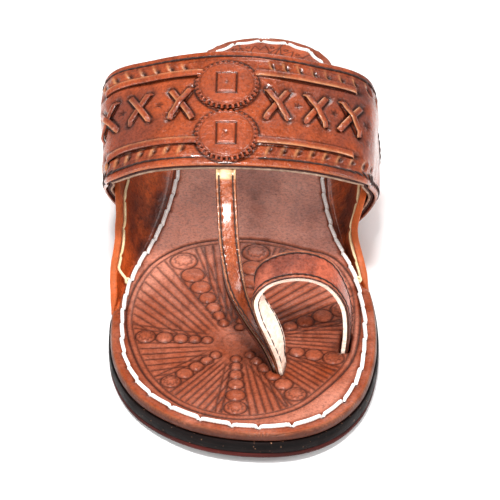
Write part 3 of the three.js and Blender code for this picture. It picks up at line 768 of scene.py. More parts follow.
def make_footbed():
    """The tooled top layer, with the slots that the strap and the ring pass into."""
    ends = np.array([0.03, 0.1, 0.22, 0.4, 0.62, 0.9, 1.25, 1.65, 2.1, 2.6])
    toe, heel = FOOTBED_EDGE[:, 1].min(), FOOTBED_EDGE[:, 1].max()
    y = np.concatenate([toe + ends, np.arange(toe + 3.1, -8, 0.46), np.arange(-7.4, 54, 0.9),
                        np.arange(54.8, heel - 3, 1.25), heel - ends[::-1]])
    share = np.linspace(0, 1, 206)
    share = share - 0.012 * np.sin(2 * math.pi * share)  # a little closer together at the margins
    left, right = side_x(FOOTBED_EDGE, -1, y), side_x(FOOTBED_EDGE, 1, y)
    x = left[:, None] + (right - left)[:, None] * share[None]
    y = np.repeat(y[:, None], len(share), 1)
    gap = edge_gap(x, y)
    gap[0, :] = gap[-1, :] = gap[:, 0] = gap[:, -1] = 0
    work = Tooling(x)
    tool_medallion(work, x, y)
    sewing_channel(work, x, y, gap)
    # painted shade under the strap and the ring
    for cx, cy, wide, long in PAINTED_SHADE_SPOTS:  # dark where the strap and the ring stand
        work.dark = np.maximum(work.dark, 0.62 * np.exp(-((x - cx) / wide) ** 2 - ((y - cy) / long) ** 2))
    for centre, half_long, turn in FOOT_SLOTS:
        cut, beyond = in_slot(x, y, centre, half_long, 2.1, turn)
        work.relief = work.relief * (1 - cut) - 2.9 * cut
        # painted shade inside each slot and round its rim
        work.dark = np.maximum(work.dark, cut)
        work.dark = np.maximum(work.dark, 0.55 * np.exp(-(np.maximum(beyond, 0) / 1.4) ** 2))
    waves = 0.12 * np.sin(x / 9 + y / 21) * np.sin(y / 13 - x / 30)
    z = footbed_top(x, y, gap) + work.relief + waves * smooth(gap / 8)
    top = np.stack([x, y, z], -1)
    rows, cols = x.shape
    points, faces = [top.reshape(-1, 3)], grid_faces(rows, cols)
    grid = np.arange(rows * cols).reshape(rows, cols)
    rim = np.concatenate([grid[0, :-1], grid[:-1, -1], grid[-1, :0:-1], grid[:0:-1, 0]])
    edge = top.reshape(-1, 3)[rim]
    bottom = sole_base(edge[:, 1]) + FOOTBED_AT
    count, marks = rows * cols, len(rim)
    inner = inward(edge[:, :2])
    for part, tuck in ((0.35, -0.12), (0.7, -0.05), (0.93, 0.02), (1.0, 0.3)):
        ring = edge.copy()
        ring[:, :2] += inner * tuck
        ring[:, 2] = edge[:, 2] + (bottom - edge[:, 2]) * part
        points.append(ring)
    previous = rim
    for level in range(4):
        ring = count + level * marks + np.arange(marks)
        faces += np.stack([previous, ring, np.roll(ring, -1), np.roll(previous, -1)], 1).tolist()
        previous = ring
    low = {int(top_index): int(below) for top_index, below in zip(rim, previous)}
    for i in range(rows - 1):
        faces.append([low[grid[i, 0]], low[grid[i + 1, 0]], low[grid[i + 1, -1]], low[grid[i, -1]]])
    for row in (0, rows - 1):
        faces.append([low[k] for k in grid[row]])
    extra = marks * 4
    stain = np.concatenate([footbed_stain(x, y, gap).ravel(), np.full(extra, 0.5)])
    work.dark = np.maximum(work.dark, 0.8 * smooth((1.1 - gap) / 1.0))
    dark = np.concatenate([work.dark.ravel(), np.full(extra, 0.85)])
    rub_and_glint = 0.35 * smooth((1.3 - gap) / 1.0) * smooth((gap + 0.2) / 0.4)
    worn = np.concatenate([rub_and_glint.ravel(), np.full(extra, 0.1)])
    make_piece("footbed_tooled", np.vstack(points), faces, FOOTBED_LEATHER, "footbed_leather",
               ["footbed"], pressed=dark, stain=stain, worn=worn)


def tool_heel_patch(work, x, y):
    """Arched frame with a bordered margin, and a panel that holds a ringed rosette and four leaf fans."""
    arch_y, arch_r = 101.9, 17.0
    out = np.where(y < arch_y, np.abs(x), np.hypot(x, y - arch_y))
    above = smooth((y - 58.2) / 0.5)
    for radius in (arch_r, arch_r - 1.2):
        work.line(out - radius, 0.38, 0.45, 0.9, above)
    inner = smooth((arch_r - 1.2 - out) / 0.4)
    for height in (58.6, 60.2, 101.2):
        work.line(y - height, 0.38, 0.42, 0.85, smooth((arch_r + 0.3 - out) / 0.5))
    panel = np.maximum(np.abs(x) - 14.6, np.abs(y - 80.7) - 19.3)
    work.line(panel, 0.36, 0.35, 0.75, inner)
    # the margin's zigzag, dots and bars
    run = np.where(y < arch_y, y, arch_y + arch_r * 1.25 * np.arctan2(y - arch_y, np.abs(x) + 1e-6))
    cell = ((run - 58.6) / 11.5) % 1.0
    margin = smooth((out - arch_r - 0.6) / 0.5) * above
    wave = np.abs(((run - 58.6) / 5.75) % 1.0 - 0.5) * 2
    work.line((out - arch_r - 2.2 - 5.2 * wave) * 0.6, 0.36, 0.38, 0.8, margin)
    work.line(np.minimum(cell, 1 - cell) * 11.5, 0.36, 0.38, 0.8, margin)
    for across in (2.2, 6.6):
        dot = np.hypot(out - arch_r - across, (np.abs(cell - 0.5) - 0.25) * 11.5)
        work.line(dot - 0.7, 0.32, 0.4, 0.8, margin)
    # ringed rosette
    dx, dy = x - MOTIF[0], y - MOTIF[1]
    reach, angle = np.hypot(dx, dy), np.arctan2(dy, dx)
    work.line(reach - 6.1, 0.34, 0.4, 0.9)
    work.line(reach - 5.0, 0.3, 0.35, 0.8)
    work.line(reach - (2.6 + 1.1 * np.cos(8 * angle)), 0.34, 0.35, 0.8, reach < 4.6)
    work.swell(0.4 * np.clip(1 - (reach / 1.3) ** 2, 0, 1))
    # leaf fans toward the corners
    for corner in (45, 135, 225, 315):
        way = math.radians(corner)
        along = dx * math.cos(way) + dy * math.sin(way)
        aside = -dx * math.sin(way) + dy * math.cos(way)
        spread = aside / np.maximum(along + 2.5, 1.0)
        leaf = (along > 7.0) * (along < 18.2 - 9 * np.abs(spread)) * (np.abs(spread) < 0.46) * inner
        ribs = (spread / 0.115 - np.round(spread / 0.115)) * 0.115 * (along + 2.5)
        work.line(ribs, 0.3, 0.4, 0.8, leaf)
    for side in (0, 90, 180, 270):
        way = math.radians(side)
        for out_by, size in ((8.4, 1.3), (11.2, 1.0)):
            away = np.hypot(dx - out_by * math.cos(way), dy - out_by * math.sin(way))
            work.line(away - size, 0.3, 0.35, 0.8, inner)


def make_heel_patch():
    """A separate piece of leather laid on the heel, inside the white sewing."""
    line, _ = Route(inset_edge(STITCH_INSET + 0.9)[::6], closed=True).even(700)
    back = line[:, 1].max()
    y = np.concatenate([np.arange(PATCH_FRONT, back - 1.5, 0.4),
                        back - np.array([1.3, 0.9, 0.55, 0.3, 0.12, 0.03])])
    left = np.maximum(side_x(line, -1, y), PATCH_X - PATCH_HALF)
    right = np.minimum(side_x(line, 1, y), PATCH_X + PATCH_HALF)
    share = np.linspace(0, 1, 136)
    x = left[:, None] + (right - left)[:, None] * share[None]
    y = np.repeat(y[:, None], len(share), 1)
    gap = np.minimum(np.minimum(x - left[:, None], right[:, None] - x), y - PATCH_FRONT)
    rear = np.sqrt(((np.stack([x, y], -1)[:, :, None] - line[None, None, ::7]) ** 2).sum(-1)).min(-1)
    gap = np.minimum(gap, np.where(y > 104, np.maximum(rear - 0.2, 0), gap))
    work = Tooling(x)
    tool_heel_patch(work, x - PATCH_X, y)
    lift = PATCH_RISE * np.sqrt(np.clip(1 - (1 - np.clip(gap / 0.5, 0, 1)) ** 2, 0, 1))
    base = sole_base(y) + FOOTBED_AT + FOOTBED
    z = base - 0.35 + lift + 0.35 * smooth(gap / 0.3) + work.relief * 0.8
    top = np.stack([x, y, z], -1)
    under = np.stack([x, y, base - 0.9], -1)
    rows, cols = x.shape
    stain = 0.4 * smooth((y - 108) / 14)
    for cx, cy, wide, long, strength in ((3, 60, 15, 14, 0.45), (0, 92, 10, 9, 0.55)):
        stain = np.maximum(stain, strength * np.exp(-((x - cx) / wide) ** 2 - ((y - cy) / long) ** 2))
    close_shell("heel_patch", top, under, rows, cols, PATCH_LEATHER, "footbed_leather",
                pressed=work.dark, stain=stain, worn=0.3 * smooth((0.7 - gap) / 0.6))


def close_shell(name, top, under, rows, cols, finish, slot, stands_for=(), **marks):
    """Solid between an upper and a lower grid; the lower one keeps only its rim and a few ribs of faces."""
    grid = np.arange(rows * cols).reshape(rows, cols)
    rim = np.concatenate([grid[0, :-1], grid[:-1, -1], grid[-1, :0:-1], grid[:0:-1, 0]])
    points = np.vstack([top.reshape(-1, 3), under.reshape(-1, 3)[rim]])
    below = rows * cols + np.arange(len(rim))
    faces = grid_faces(rows, cols)
    faces += np.stack([rim, below, np.roll(below, -1), np.roll(rim, -1)], 1).tolist()
    low = {int(a): int(b) for a, b in zip(rim, below)}
    for i in range(rows - 1):
        faces.append([low[grid[i, 0]], low[grid[i + 1, 0]], low[grid[i + 1, -1]], low[grid[i, -1]]])
    for row in (0, rows - 1):
        faces.append([low[k] for k in grid[row]])
    marks = {key: np.concatenate([values.ravel(), values.ravel()[rim] * 0]) for key, values in marks.items()}
    return make_piece(name, points, faces, finish, slot, stands_for, **marks)


# ------------------------------------------------------------------ ears


def ear_column(number, y):
    """Smooth curve through one column of the ear's table."""
    rows = EAR_SECTIONS
    slope = np.empty(len(rows))
    for k in range(len(rows)):
        a, b = rows[max(k - 1, 0)], rows[min(k + 1, len(rows) - 1)]
        slope[k] = (b[number] - a[number]) / (b[0] - a[0])
    at = np.clip(np.asarray(y, float), rows[0, 0], rows[-1, 0])
    i = np.clip(np.searchsorted(rows[:, 0], at, side="right") - 1, 0, len(rows) - 2)
    span = rows[i + 1, 0] - rows[i, 0]
    t = (at - rows[i, 0]) / span
    start = (1 + 2 * t) * (1 - t) ** 2 * rows[i, number] + t * (1 - t) ** 2 * span * slope[i]
    return start + t * t * (3 - 2 * t) * rows[i + 1, number] - t * t * (1 - t) * span * slope[i + 1]


def ear_at(side, y, up):
    """Middle of an ear's thickness, the way its outside faces, and the way up its section."""
    y, up = np.broadcast_arrays(np.asarray(y, float), np.asarray(up, float))
    reach, rise = (ear_column(k, y) for k in ((3, 4) if side > 0 else (1, 2)))
    root = np.abs(side_x(EDGE, side, y)) + EAR_ROOT
    height = sole_base(y) + EAR_MID
    t = np.maximum(up, 0)
    x = root + 2 * t * (1 - t) * 0.6 * reach + t * t * reach + np.minimum(up, 0) * EAR_TAB
    z = height + 2 * t * (1 - t) * 0.1 * rise + t * t * rise
    run_x = 2 * (1 - t) * 0.6 * reach + 2 * t * 0.4 * reach
    run_z = 2 * (1 - t) * 0.1 * rise + 2 * t * 0.9 * rise
    length = np.maximum(np.hypot(run_x, run_z), 1e-6)
    run_x, run_z = np.where(up < 0, 1, run_x / length), np.where(up < 0, 0, run_z / length)
    middle, outside = np.stack([side * x, y, z], -1), np.stack([side * run_z, 0 * y, -run_x], -1)
    return middle, outside, np.stack([side * run_x, 0 * y, run_z], -1)


def evened(values):
    """A row of numbers with its small steps smoothed away."""
    window = np.hanning(13)
    return np.convolve(np.pad(values, 6, mode="edge"), window / window.sum(), "valid")


def ear_thread_path(side):
    """Where the cream thread lies on an ear's inner face, and how far up the ear that is."""
    table = np.array(EAR_THREAD[side], float)
    y = np.linspace(table[0, 0], 90, 90)
    x, z = (evened(np.interp(y, table[:, 0], table[:, k])) for k in (1, 2))
    ups = np.linspace(0.12, 0.9, 60)
    middle, outside, _ = ear_at(side, y[:, None], ups[None])
    inner = middle - outside * EAR_HALF
    away = (inner[..., 0] - x[:, None]) ** 2 + (inner[..., 2] - z[:, None]) ** 2
    up = evened(ups[away.argmin(1)])
    middle, outside, _ = ear_at(side, y, up)
    return middle - outside * (EAR_HALF + 0.1), -outside, y, up


def make_ear(side, name, node):
    """One leaf-shaped flap, a section at each station, with a dent where its thread lies."""
    start = EAR_START[side]
    stations = np.concatenate([np.linspace(start, start + 6, 14)[:-1],
                               np.linspace(start + 6, EAR_END - 6, 200),
                               np.linspace(EAR_END - 6, EAR_END, 14)[1:]])
    ups = np.concatenate([[-1, -0.5, -0.08], np.linspace(0, 1, 34) ** 0.9])
    half = EAR_HALF * (0.45 + 0.55 * smooth((stations - start) / 8) * smooth((EAR_END - stations) / 8))
    _, _, thread_y, thread_up = ear_thread_path(side)
    at_thread = np.interp(stations, thread_y, thread_up)
    loops, pressed, worn, stain = [], [], [], []
    for k, y in enumerate(stations):
        middle, outside, run = ear_at(side, y, ups)
        rim, rim_out, rim_run = middle[-1], outside[-1], run[-1]
        size = max(ear_column(4 if side > 0 else 2, y), 1.0)
        dent = np.exp(-(((ups - at_thread[k]) * size * 1.25) / 0.7) ** 2) * (thread_y[0] < y < thread_y[-1])
        wave = 0.16 * np.sin(y / 5.5 + 3 * ups) * smooth(ups)
        inner = middle - outside * (half[k] - 0.28 * dent + wave)[:, None]
        outer = middle + outside * (half[k] - wave)[:, None]
        turn = np.radians([-80, -55, -25, 0, 25, 55, 80])
        swing = np.sign(turn) * (1 - (1 - np.abs(np.sin(turn))) ** 0.8)
        edge = rim + rim_out * (half[k] * swing)[:, None] + rim_run * (0.55 * np.cos(turn) ** 0.6)[:, None]
        loops.append(np.vstack([inner, edge, outer[::-1]]))
        # painted shade in the dent where the thread lies
        pressed.append(np.concatenate([0.55 * dent, np.zeros(7), np.zeros(len(ups))]))
        paint_glint = smooth((ups - 0.965) / 0.035) * 0.4
        worn.append(np.concatenate([paint_glint, [0.5, 0.75, 0.9, 0.9, 0.9, 0.75, 0.5], paint_glint[::-1]]))
        pool = 0.75 * np.exp(-((y + 34) / 14) ** 2) + 0.35 * np.exp(-((ups - 0.9) / 0.2) ** 2)
        stain.append(np.concatenate([pool, np.full(7, 0.3), pool[::-1]]))
    points, faces = loft(np.array(loops))
    make_piece(name, points, faces, EAR_LEATHER, "ear_leather", [node],
               pressed=np.concatenate(pressed), worn=np.concatenate(worn), stain=np.concatenate(stain))


# ------------------------------------------------------------------ band


def band_edges():
    """The band's rear and front edges, from the lateral ear over the instep to the medial ear."""
    rear, front = [], []
    for side, rows in ((-1, BAND_ON_EAR), (0, BAND_ARCH), (1, BAND_ON_EAR[::-1])):
        for row in rows:
            if side == 0:
                rear.append(row[0])
                front.append(row[1])
                continue
            for edge, y in ((rear, row[1]), (front, row[2])):
                middle, outside, _ = ear_at(side, y, row[0])
                edge.append(tuple(middle + outside * BAND_OFF_EAR))
    return rear, front


BAND = Ribbon(*band_edges(), crown=BAND_CROWN, facing=1)
BAND_MID = float(np.interp(0.5, BAND.fine, BAND.run))  # millimetres along to the crown
ROSETTES = {"rosette_rear": (0.4985, 0.328), "rosette_front": (0.4995, 0.768)}
ROSETTE_R = 11.9
FRAME_HALF = (3.6, 4.9)  # of the square in the middle of a rosette
CROSSES = (-48.0, -34.0, -17.7, 18.5, 33.5, 47.5)  # millimetres along from the crown
CROSS_ACROSS = 25.6
CROSS_HALF = (4.4, 7.4)
CROSS_LACE, LONG_LACE = 2.5, 3.2  # widths
STARS = (-41.2, -26.0, 26.0, 40.6, -55.0, 54.5)  # millimetres along from the crown
LACE_IN = 11.0
LACE_ENDS = 50.0
BAND_ROW_IN = 3.0
DROP_PITCH, DROP_IN = 5.5, 7.2


def band_spot(along_mm, across_mm, lift=0.0):
    """Point and normal on the band's face, millimetres along from the crown and across from the rear edge."""
    along = BAND.along_at(BAND_MID + np.asarray(along_mm, float))
    across = np.asarray(across_mm, float) / BAND.width(along)
    return BAND.place(along, across, BAND_THICK / 2 + np.asarray(lift, float))


def tool_band(work, s, t, wide):
    """Sewing lines, punched marks and lace holes, darkened with painted shade, and painted glints beside the
    punched marks. s runs along from the crown, t across from the rear edge.
    """
    near = np.minimum(t, wide - t)
    work.line(near - BAND_ROW_IN, 0.6, 0.28, 0.45)
    work.line(near - 4.7, 0.4, 0.16, 0.3)
    slot = (s / DROP_PITCH - np.round(s / DROP_PITCH)) * DROP_PITCH
    held = (np.abs(s) > 13.0) * (np.abs(s) < 62)
    drop = np.hypot(slot - 0.35 * (near - DROP_IN), (near - DROP_IN) * 0.62)
    # the punched marks are darkened with painted shade
    work.line(drop, 1.0, 0.85, 0.95, held)
    work.swell(0.22 * np.exp(-((drop - 1.7) / 0.5) ** 2) * held)
    # a painted glint on one edge of each punched mark
    glint_spot = np.hypot((slot + 1.0 - 0.35 * (near - DROP_IN)) / 0.5, (near - DROP_IN) * 0.42)
    work.paint_glint(np.exp(-glint_spot ** 2) * held)
    for along, across in ROSETTES.values():  # painted shadow of the discs' edges on the band
        away = np.hypot(s - (np.interp(along, BAND.fine, BAND.run) - BAND_MID), t - across * wide)
        work.line(away - ROSETTE_R - 0.35, 0.6, 0.15, 0.95)
    # painted shade in the holes at the crosses' ends and beside each lace
    for centre in CROSSES:
        for sx in (-1, 1):
            for st in (-1, 1):
                away = np.hypot(s - centre - sx * CROSS_HALF[0], t - CROSS_ACROSS - st * CROSS_HALF[1])
                work.line(away, 1.7, 1.1, 0.95, away < 4)
        for falls in (-1, 1):  # the leather sinks along each lace, with painted shade beside it
            lean = math.atan2(CROSS_HALF[1], falls * CROSS_HALF[0])
            u, v = s - centre, t - CROSS_ACROSS
            off = np.abs(-u * math.sin(lean) + v * math.cos(lean))
            run = np.abs(u * math.cos(lean) + v * math.sin(lean))
            held = smooth((math.hypot(*CROSS_HALF) + 0.6 - run) / 1.2)
            work.line(off - 1.6, 0.6, 0.5, 0.95, held)
    for centre in STARS:
        dx, dt = s - centre, t - CROSS_ACROSS
        away, angle = np.hypot(dx, dt), np.arctan2(dt, dx)
        work.line(away - 0.5 - 0.45 * np.cos(5 * angle), 0.75, 0.55, 0.8, away < 3)
    # painted shade in each long lace's end hole and along both its sides, darker on the rear side
    for side in (-1, 1):
        for across in (LACE_IN, wide - LACE_IN):
            away = np.hypot(s - side * (LACE_ENDS + 0.6), t - across)
            work.line(away, 1.8, 1.1, 0.95, away < 4)
            held = smooth((LACE_ENDS + 0.5 - side * s) / 1.0) * smooth((side * s - 9) / 2)
            work.line(t - across - 1.85, 0.5, 0.5, 0.95, held)
            work.line(t - across + 1.85, 0.5, 0.35, 0.6, held)


def strip_rows(mm_wide, pitch):
    """Shares across a strip, closer together at its two edges."""
    edge = np.array([0, 0.08, 0.22, 0.42, 0.7, 1.0])
    inner = np.linspace(1.4, mm_wide - 1.4, max(int((mm_wide - 2.8) / pitch), 2))
    return np.concatenate([edge, inner, mm_wide - edge[::-1]]) / mm_wide


def strip_solid(ribbon, along, top_share, under_share, top, under, corner, inset=0.0):
    """Loops round a strip between two heights, its long edges rounded. top is one height or a grid of them."""
    wide = ribbon.width(along)
    loops = []
    for share, height, way in ((top_share, top, -1), (under_share[::-1], under, 1)):
        across = inset / wide[:, None] + share[None] * (1 - 2 * inset / wide[:, None])
        gap = np.minimum(across, 1 - across) * wide[:, None] - inset
        depth = np.clip(corner - gap, 0, corner)
        rounding = corner - np.sqrt(np.maximum(corner ** 2 - depth ** 2, 0))
        loops.append(ribbon.place(along[:, None], across, height + way * rounding)[0])
    return np.concatenate(loops, 1)


def with_under(count, rest, **marks):
    """A face's marks, run on round each loop over the points underneath, which all hold the rest number."""
    return {key: np.pad(values, ((0, 0), (0, count)), constant_values=rest) for key, values in marks.items()}


def make_band():
    """The instep band: a punched and laced face over a darker filler, and a pale lining."""
    total = BAND.run[-1]
    along = BAND.along_at(np.concatenate([[0, 0.3], np.arange(1, total - 1, 0.55), [total - 0.3, total]]))
    share = strip_rows(BAND_WIDE, 0.56)
    under = np.linspace(0, 1, 9)
    wide = BAND.width(along)
    s = (np.interp(along, BAND.fine, BAND.run) - BAND_MID)[:, None] + 0 * share[None]
    t = wide[:, None] * share[None]
    work = Tooling(s)
    tool_band(work, s, t, wide[:, None])
    waves = 0.45 * np.sin(s / 9 + t / 15) * np.sin(t / 7.5 + 0.6)
    waves = waves + 0.2 * np.sin(s / 3.7 - t / 5.3) * np.sin(s / 13)
    near = np.minimum(t, wide[:, None] - t)
    top = BAND_THICK / 2 + work.relief + waves * smooth(near / 6)
    stain = 0.55 * np.exp(-(s / 34) ** 2) + 0.35 * np.sin(s / 7 + t / 5) ** 2 * smooth((40 - np.abs(s)) / 20)
    worn = np.maximum(0.8 * work.worn, 0.2 * smooth((0.5 - near) / 0.5))
    points, faces = loft(strip_solid(BAND, along, share, under, top, 0.0, 0.8))
    marks = with_under(len(under), 0.0, pressed=work.dark, stain=np.clip(stain, 0, 1), worn=worn)
    make_piece("band_face", points, faces, BAND_LEATHER, "band_leather", ["upper"], **marks)
    coarse = BAND.along_at(np.linspace(0, total, 150))
    share = strip_rows(BAND_WIDE, 4.0)
    points, faces = loft(strip_solid(BAND, coarse, share, share, 0.04, -0.9, 0.3, 0.35))
    make_piece("band_filler", points, faces, FILLER_LEATHER, "lining_leather")
    points, faces = loft(strip_solid(BAND, coarse, share, share, -0.86, -BAND_THICK / 2, 0.35, 0.1))
    make_piece("band_lining", points, faces, UNDERSIDE_LEATHER, "lining_leather")


def lace(points, normals, wide, thick):
    """A flat lace along a path on the leather, pillowed on top."""
    ahead = unit(np.gradient(points, axis=0))
    side = unit(np.cross(normals, ahead))
    section = [(-1, -0.5), (-1, 0.1), (-0.86, 0.62), (-0.55, 0.9), (0, 1), (0.55, 0.9), (0.86, 0.62), (1, 0.1),
               (1, -0.5), (0, -0.5)]
    loops = np.stack([points + side * (a * wide / 2) + normals * (h * thick / 2) for a, h in section], 1)
    return loft(loops)


def make_laces():
    """Six crosses and four long laces, each diving into its holes."""
    parts = []

    def lay(s0, t0, s1, t1, lift, wide, steps):
        part = np.linspace(0, 1, steps)
        s, t = s0 + (s1 - s0) * part, t0 + (t1 - t0) * part
        points, normals = band_spot(s, t, lift(part))
        parts.append(lace(points, normals, wide, 1.1))

    def crossing(over):
        def lift(part):
            ends = np.minimum(part, 1 - part)
            return -1.1 + 1.45 * smooth(ends / 0.13) + over * np.exp(-((part - 0.5) / 0.17) ** 2)
        return lift

    for centre in CROSSES:
        over_falls = centre != CROSSES[2]
        a, b = CROSS_HALF
        for falls in (True, False):
            s0, s1 = (centre - a, centre + a) if falls else (centre + a, centre - a)
            over = 0.95 if falls == over_falls else 0.0
            lay(s0, CROSS_ACROSS - b, s1, CROSS_ACROSS + b, crossing(over), CROSS_LACE, 26)

    def dive(part):
        return 0.3 - 1.4 * smooth((part - 0.965) / 0.035) - 0.5 * smooth((0.06 - part) / 0.06)

    for side in (-1, 1):
        wide = BAND.width(BAND.along_at(BAND_MID + side * 30))
        for across in (LACE_IN, wide - LACE_IN):
            lay(side * 9.5, across, side * LACE_ENDS, across, dive, LONG_LACE, 70)
    points, faces = together(parts)
    # painted shade on the laces' sides and underside; one upper shoulder takes the pale colour
    rim = np.array([0.95, 0.7, 0.15, 0, 0, 0, 0.15, 0.7, 0.95, 1.0])
    rub_and_glint = np.array([0, 0, 0.6, 0.2, 0, 0, 0, 0, 0, 0])
    count = len(points) // len(rim)
    make_piece("band_laces", points, faces, BAND_LEATHER, "band_leather", stain=np.full(len(points), 0.3),
               pressed=np.tile(rim, count), worn=np.tile(rub_and_glint, count))


def make_rosette(name):
    """Stacked disc: toothed rim, domed face, framed square in the middle."""
    along, across = ROSETTES[name]
    steps = 192
    centre, normal = BAND.place(along, across, BAND_THICK / 2)
    ahead = unit(BAND.place(along + 0.01, across)[0] - BAND.place(along - 0.01, across)[0])
    aside = unit(np.cross(normal, ahead))
    angle = np.linspace(0, 2 * math.pi, steps, endpoint=False)
    rim_radii = [9.2, 9.4, 9.6, 9.8, 10.0, 10.2, 10.45, 10.7, 10.9, 11.05, 11.15, 11.2]
    radii = np.concatenate([np.linspace(0.15, 9.0, 34), rim_radii])
    teeth = 0.5 + 0.5 * np.tanh(3.2 * np.sin(angle * 34))
    rows, dark = [], []
    mid_along = np.interp(along, BAND.fine, BAND.run)
    for radius in radii:
        # the teeth toward the band's front edge are cut deeper and darkened with painted shade
        low = 0.35 + 0.65 * smooth(0.6 + 0.8 * np.sin(angle))
        shrink = 1 - 0.09 * low * (1 - teeth) * smooth((radius - 9.6) / 1.4)
        spread = shrink * ROSETTE_R / rim_radii[-1]
        u, v = radius * spread * np.cos(angle), radius * spread * np.sin(angle)
        height = np.full(steps, 1.75) + 0.35 * (1 - min(radius / 9.3, 1) ** 2)
        groove = math.exp(-((radius - 9.4) / 0.28) ** 2)
        notch = low * (1 - teeth) * smooth((radius - 9.7) / 0.4)
        frame_line = np.maximum(np.abs(u) - FRAME_HALF[0], np.abs(v) - FRAME_HALF[1])
        frame = np.exp(-(frame_line / 0.36) ** 2)
        sides = frame * (np.abs(np.abs(u) - FRAME_HALF[0]) < 0.7)
        inner = np.exp(-(np.hypot(u, v) / 0.7) ** 2)
        height = height - 0.45 * groove - 1.35 * notch - 0.5 * frame - 0.3 * inner
        height = height + 0.3 * smooth(-frame_line / 0.8)
        height = height - 0.7 * smooth((radius - 10.5) / 0.7) - 0.25 * smooth((radius - 9.5) / 0.4)
        spot_along = BAND.along_at(mid_along + u)
        spot_across = across + v / BAND.width(np.full(steps, along))
        rows.append(BAND.place(spot_along, spot_across, BAND_THICK / 2 + np.maximum(height, 0.1))[0])
        # groove, notches, frame and centre pit are darkened: tooled lines with painted shade in them
        shade = np.maximum.reduce([np.full(steps, 0.35 * groove), notch, 0.75 * frame,
                                   0.3 * frame + 0.6 * sides, 0.7 * inner])
        dark.append(np.clip(shade, 0, 1))
    # a dark ring at the foot, under the rim, is painted shade
    foot = BAND.place(BAND.along_at(mid_along + (ROSETTE_R - 0.3) * np.cos(angle)),
                      across + (ROSETTE_R - 0.3) * np.sin(angle) / BAND.width(np.full(steps, along)),
                      BAND_THICK / 2 - 0.3)[0]
    rows.append(foot)
    dark.append(np.full(steps, 0.7))
    rows = np.array(rows)
    faces = grid_faces(len(rows), steps, close_cols=True)
    faces += [list(range(steps)), list(range((len(rows) - 1) * steps, len(rows) * steps))]
    stain = np.full(len(rows) * steps, 0.4)
    make_piece(name + "_disc", rows.reshape(-1, 3), faces, BAND_LEATHER, "band_leather", [name],
               pressed=np.concatenate(dark), stain=stain)


# ------------------------------------------------------------------ strap and toe ring


def strap_ribbon():
    """The centre strap's two edges, either side of its middle line."""
    edges = [[], []]
    for middle, across in CENTRE_STRAP:
        way = unit(np.array(across, float))
        for k, sign in enumerate((-1, 1)):
            edges[k].append(np.array(middle, float) + way * sign * STRAP_WIDE / 2)
    return Ribbon(*edges, facing=-1)


STRAP = strap_ribbon()
RING = Ribbon([a for a, _ in TOE_RING], [b for _, b in TOE_RING], facing=-1)


def sewn_strip(name, ribbon, thick, lining, pitch, row_in, finish, lining_finish, stained=0.3, painted_glare=(-9, -9)):
    """A narrow strip of two leathers, with stitch marks beside each edge, and a pale patch of painted glare where
    asked.
    """
    total = ribbon.run[-1]
    along = ribbon.along_at(np.append(np.arange(0, total, 0.5), total))
    wide = ribbon.width(along)
    share = strip_rows(float(np.median(wide)), 0.45)
    s = np.interp(along, ribbon.fine, ribbon.run)[:, None] + 0 * share[None]
    t = wide[:, None] * share[None]
    near = np.minimum(t, wide[:, None] - t)
    work = Tooling(s)
    work.line(near - row_in, 0.5, 0.14, 0.35)
    # painted shade in each stitch hole
    hole = np.hypot((s / pitch - np.round(s / pitch)) * pitch, near - row_in)
    work.line(hole, 0.55, 0.45, 0.9)
    half = thick / 2
    under = np.linspace(0, 1, 5)
    points, faces = loft(strip_solid(ribbon, along, share, under, half + work.relief, lining - half, 0.5))
    # a pale patch of painted glare over the stretch asked for
    rub_and_glare = smooth((s - painted_glare[0]) / 0.8) * smooth((painted_glare[1] - s) / 1.5)
    marks = with_under(len(under), 0.8, pressed=np.maximum(work.dark, 0.85 * smooth((0.34 - near) / 0.2)),
                       worn=np.maximum(0.25 * np.exp(-((near - 0.75) / 0.3) ** 2), rub_and_glare), stain=0 * s + stained)
    make_piece(name, points, faces, finish, "band_leather", **marks)
    share = strip_rows(float(np.median(wide)), 1.2)
    coarse = ribbon.along_at(np.linspace(0, total, 160))
    points, faces = loft(strip_solid(ribbon, coarse, share, share, lining - half + 0.04, -half, 0.3, 0.12))
    make_piece(name + "_lining", points, faces, lining_finish, "lining_leather")


# ------------------------------------------------------------------ sewing, by geometry nodes


def node_tree(name, inputs):
    """An empty tree with geometry in and out, and the named inputs that it takes."""
    tree = bpy.data.node_groups.new(name, "GeometryNodeTree")
    tree.interface.new_socket("Geometry", in_out="INPUT", socket_type="NodeSocketGeometry")
    for label, kind, value in inputs:
        socket = tree.interface.new_socket(label, in_out="INPUT", socket_type=kind)
        if value is not None:
            socket.default_value = value
    tree.interface.new_socket("Geometry", in_out="OUTPUT", socket_type="NodeSocketGeometry")
    return tree, tree.nodes.new("NodeGroupInput"), tree.nodes.new("NodeGroupOutput")


def named(tree, label, kind):
    """What each point of the mesh holds under a label."""
    node = tree.nodes.new("GeometryNodeInputNamedAttribute")
    node.data_type = kind
    node.inputs["Name"].default_value = label
    return node.outputs[0]


def end_tree(tree, given, result, geometry):
    """Every tree ends the same way: realized, smooth, and given its finish."""
    realize = tree.nodes.new("GeometryNodeRealizeInstances")
    shade = tree.nodes.new("GeometryNodeSetShadeSmooth")
    finish = tree.nodes.new("GeometryNodeSetMaterial")
    tree.links.new(geometry, realize.inputs[0])
    tree.links.new(realize.outputs[0], shade.inputs[0])
    tree.links.new(shade.outputs[0], finish.inputs[0])
    tree.links.new(given.outputs["Finish"], finish.inputs["Material"])
    tree.links.new(finish.outputs[0], result.inputs[0])


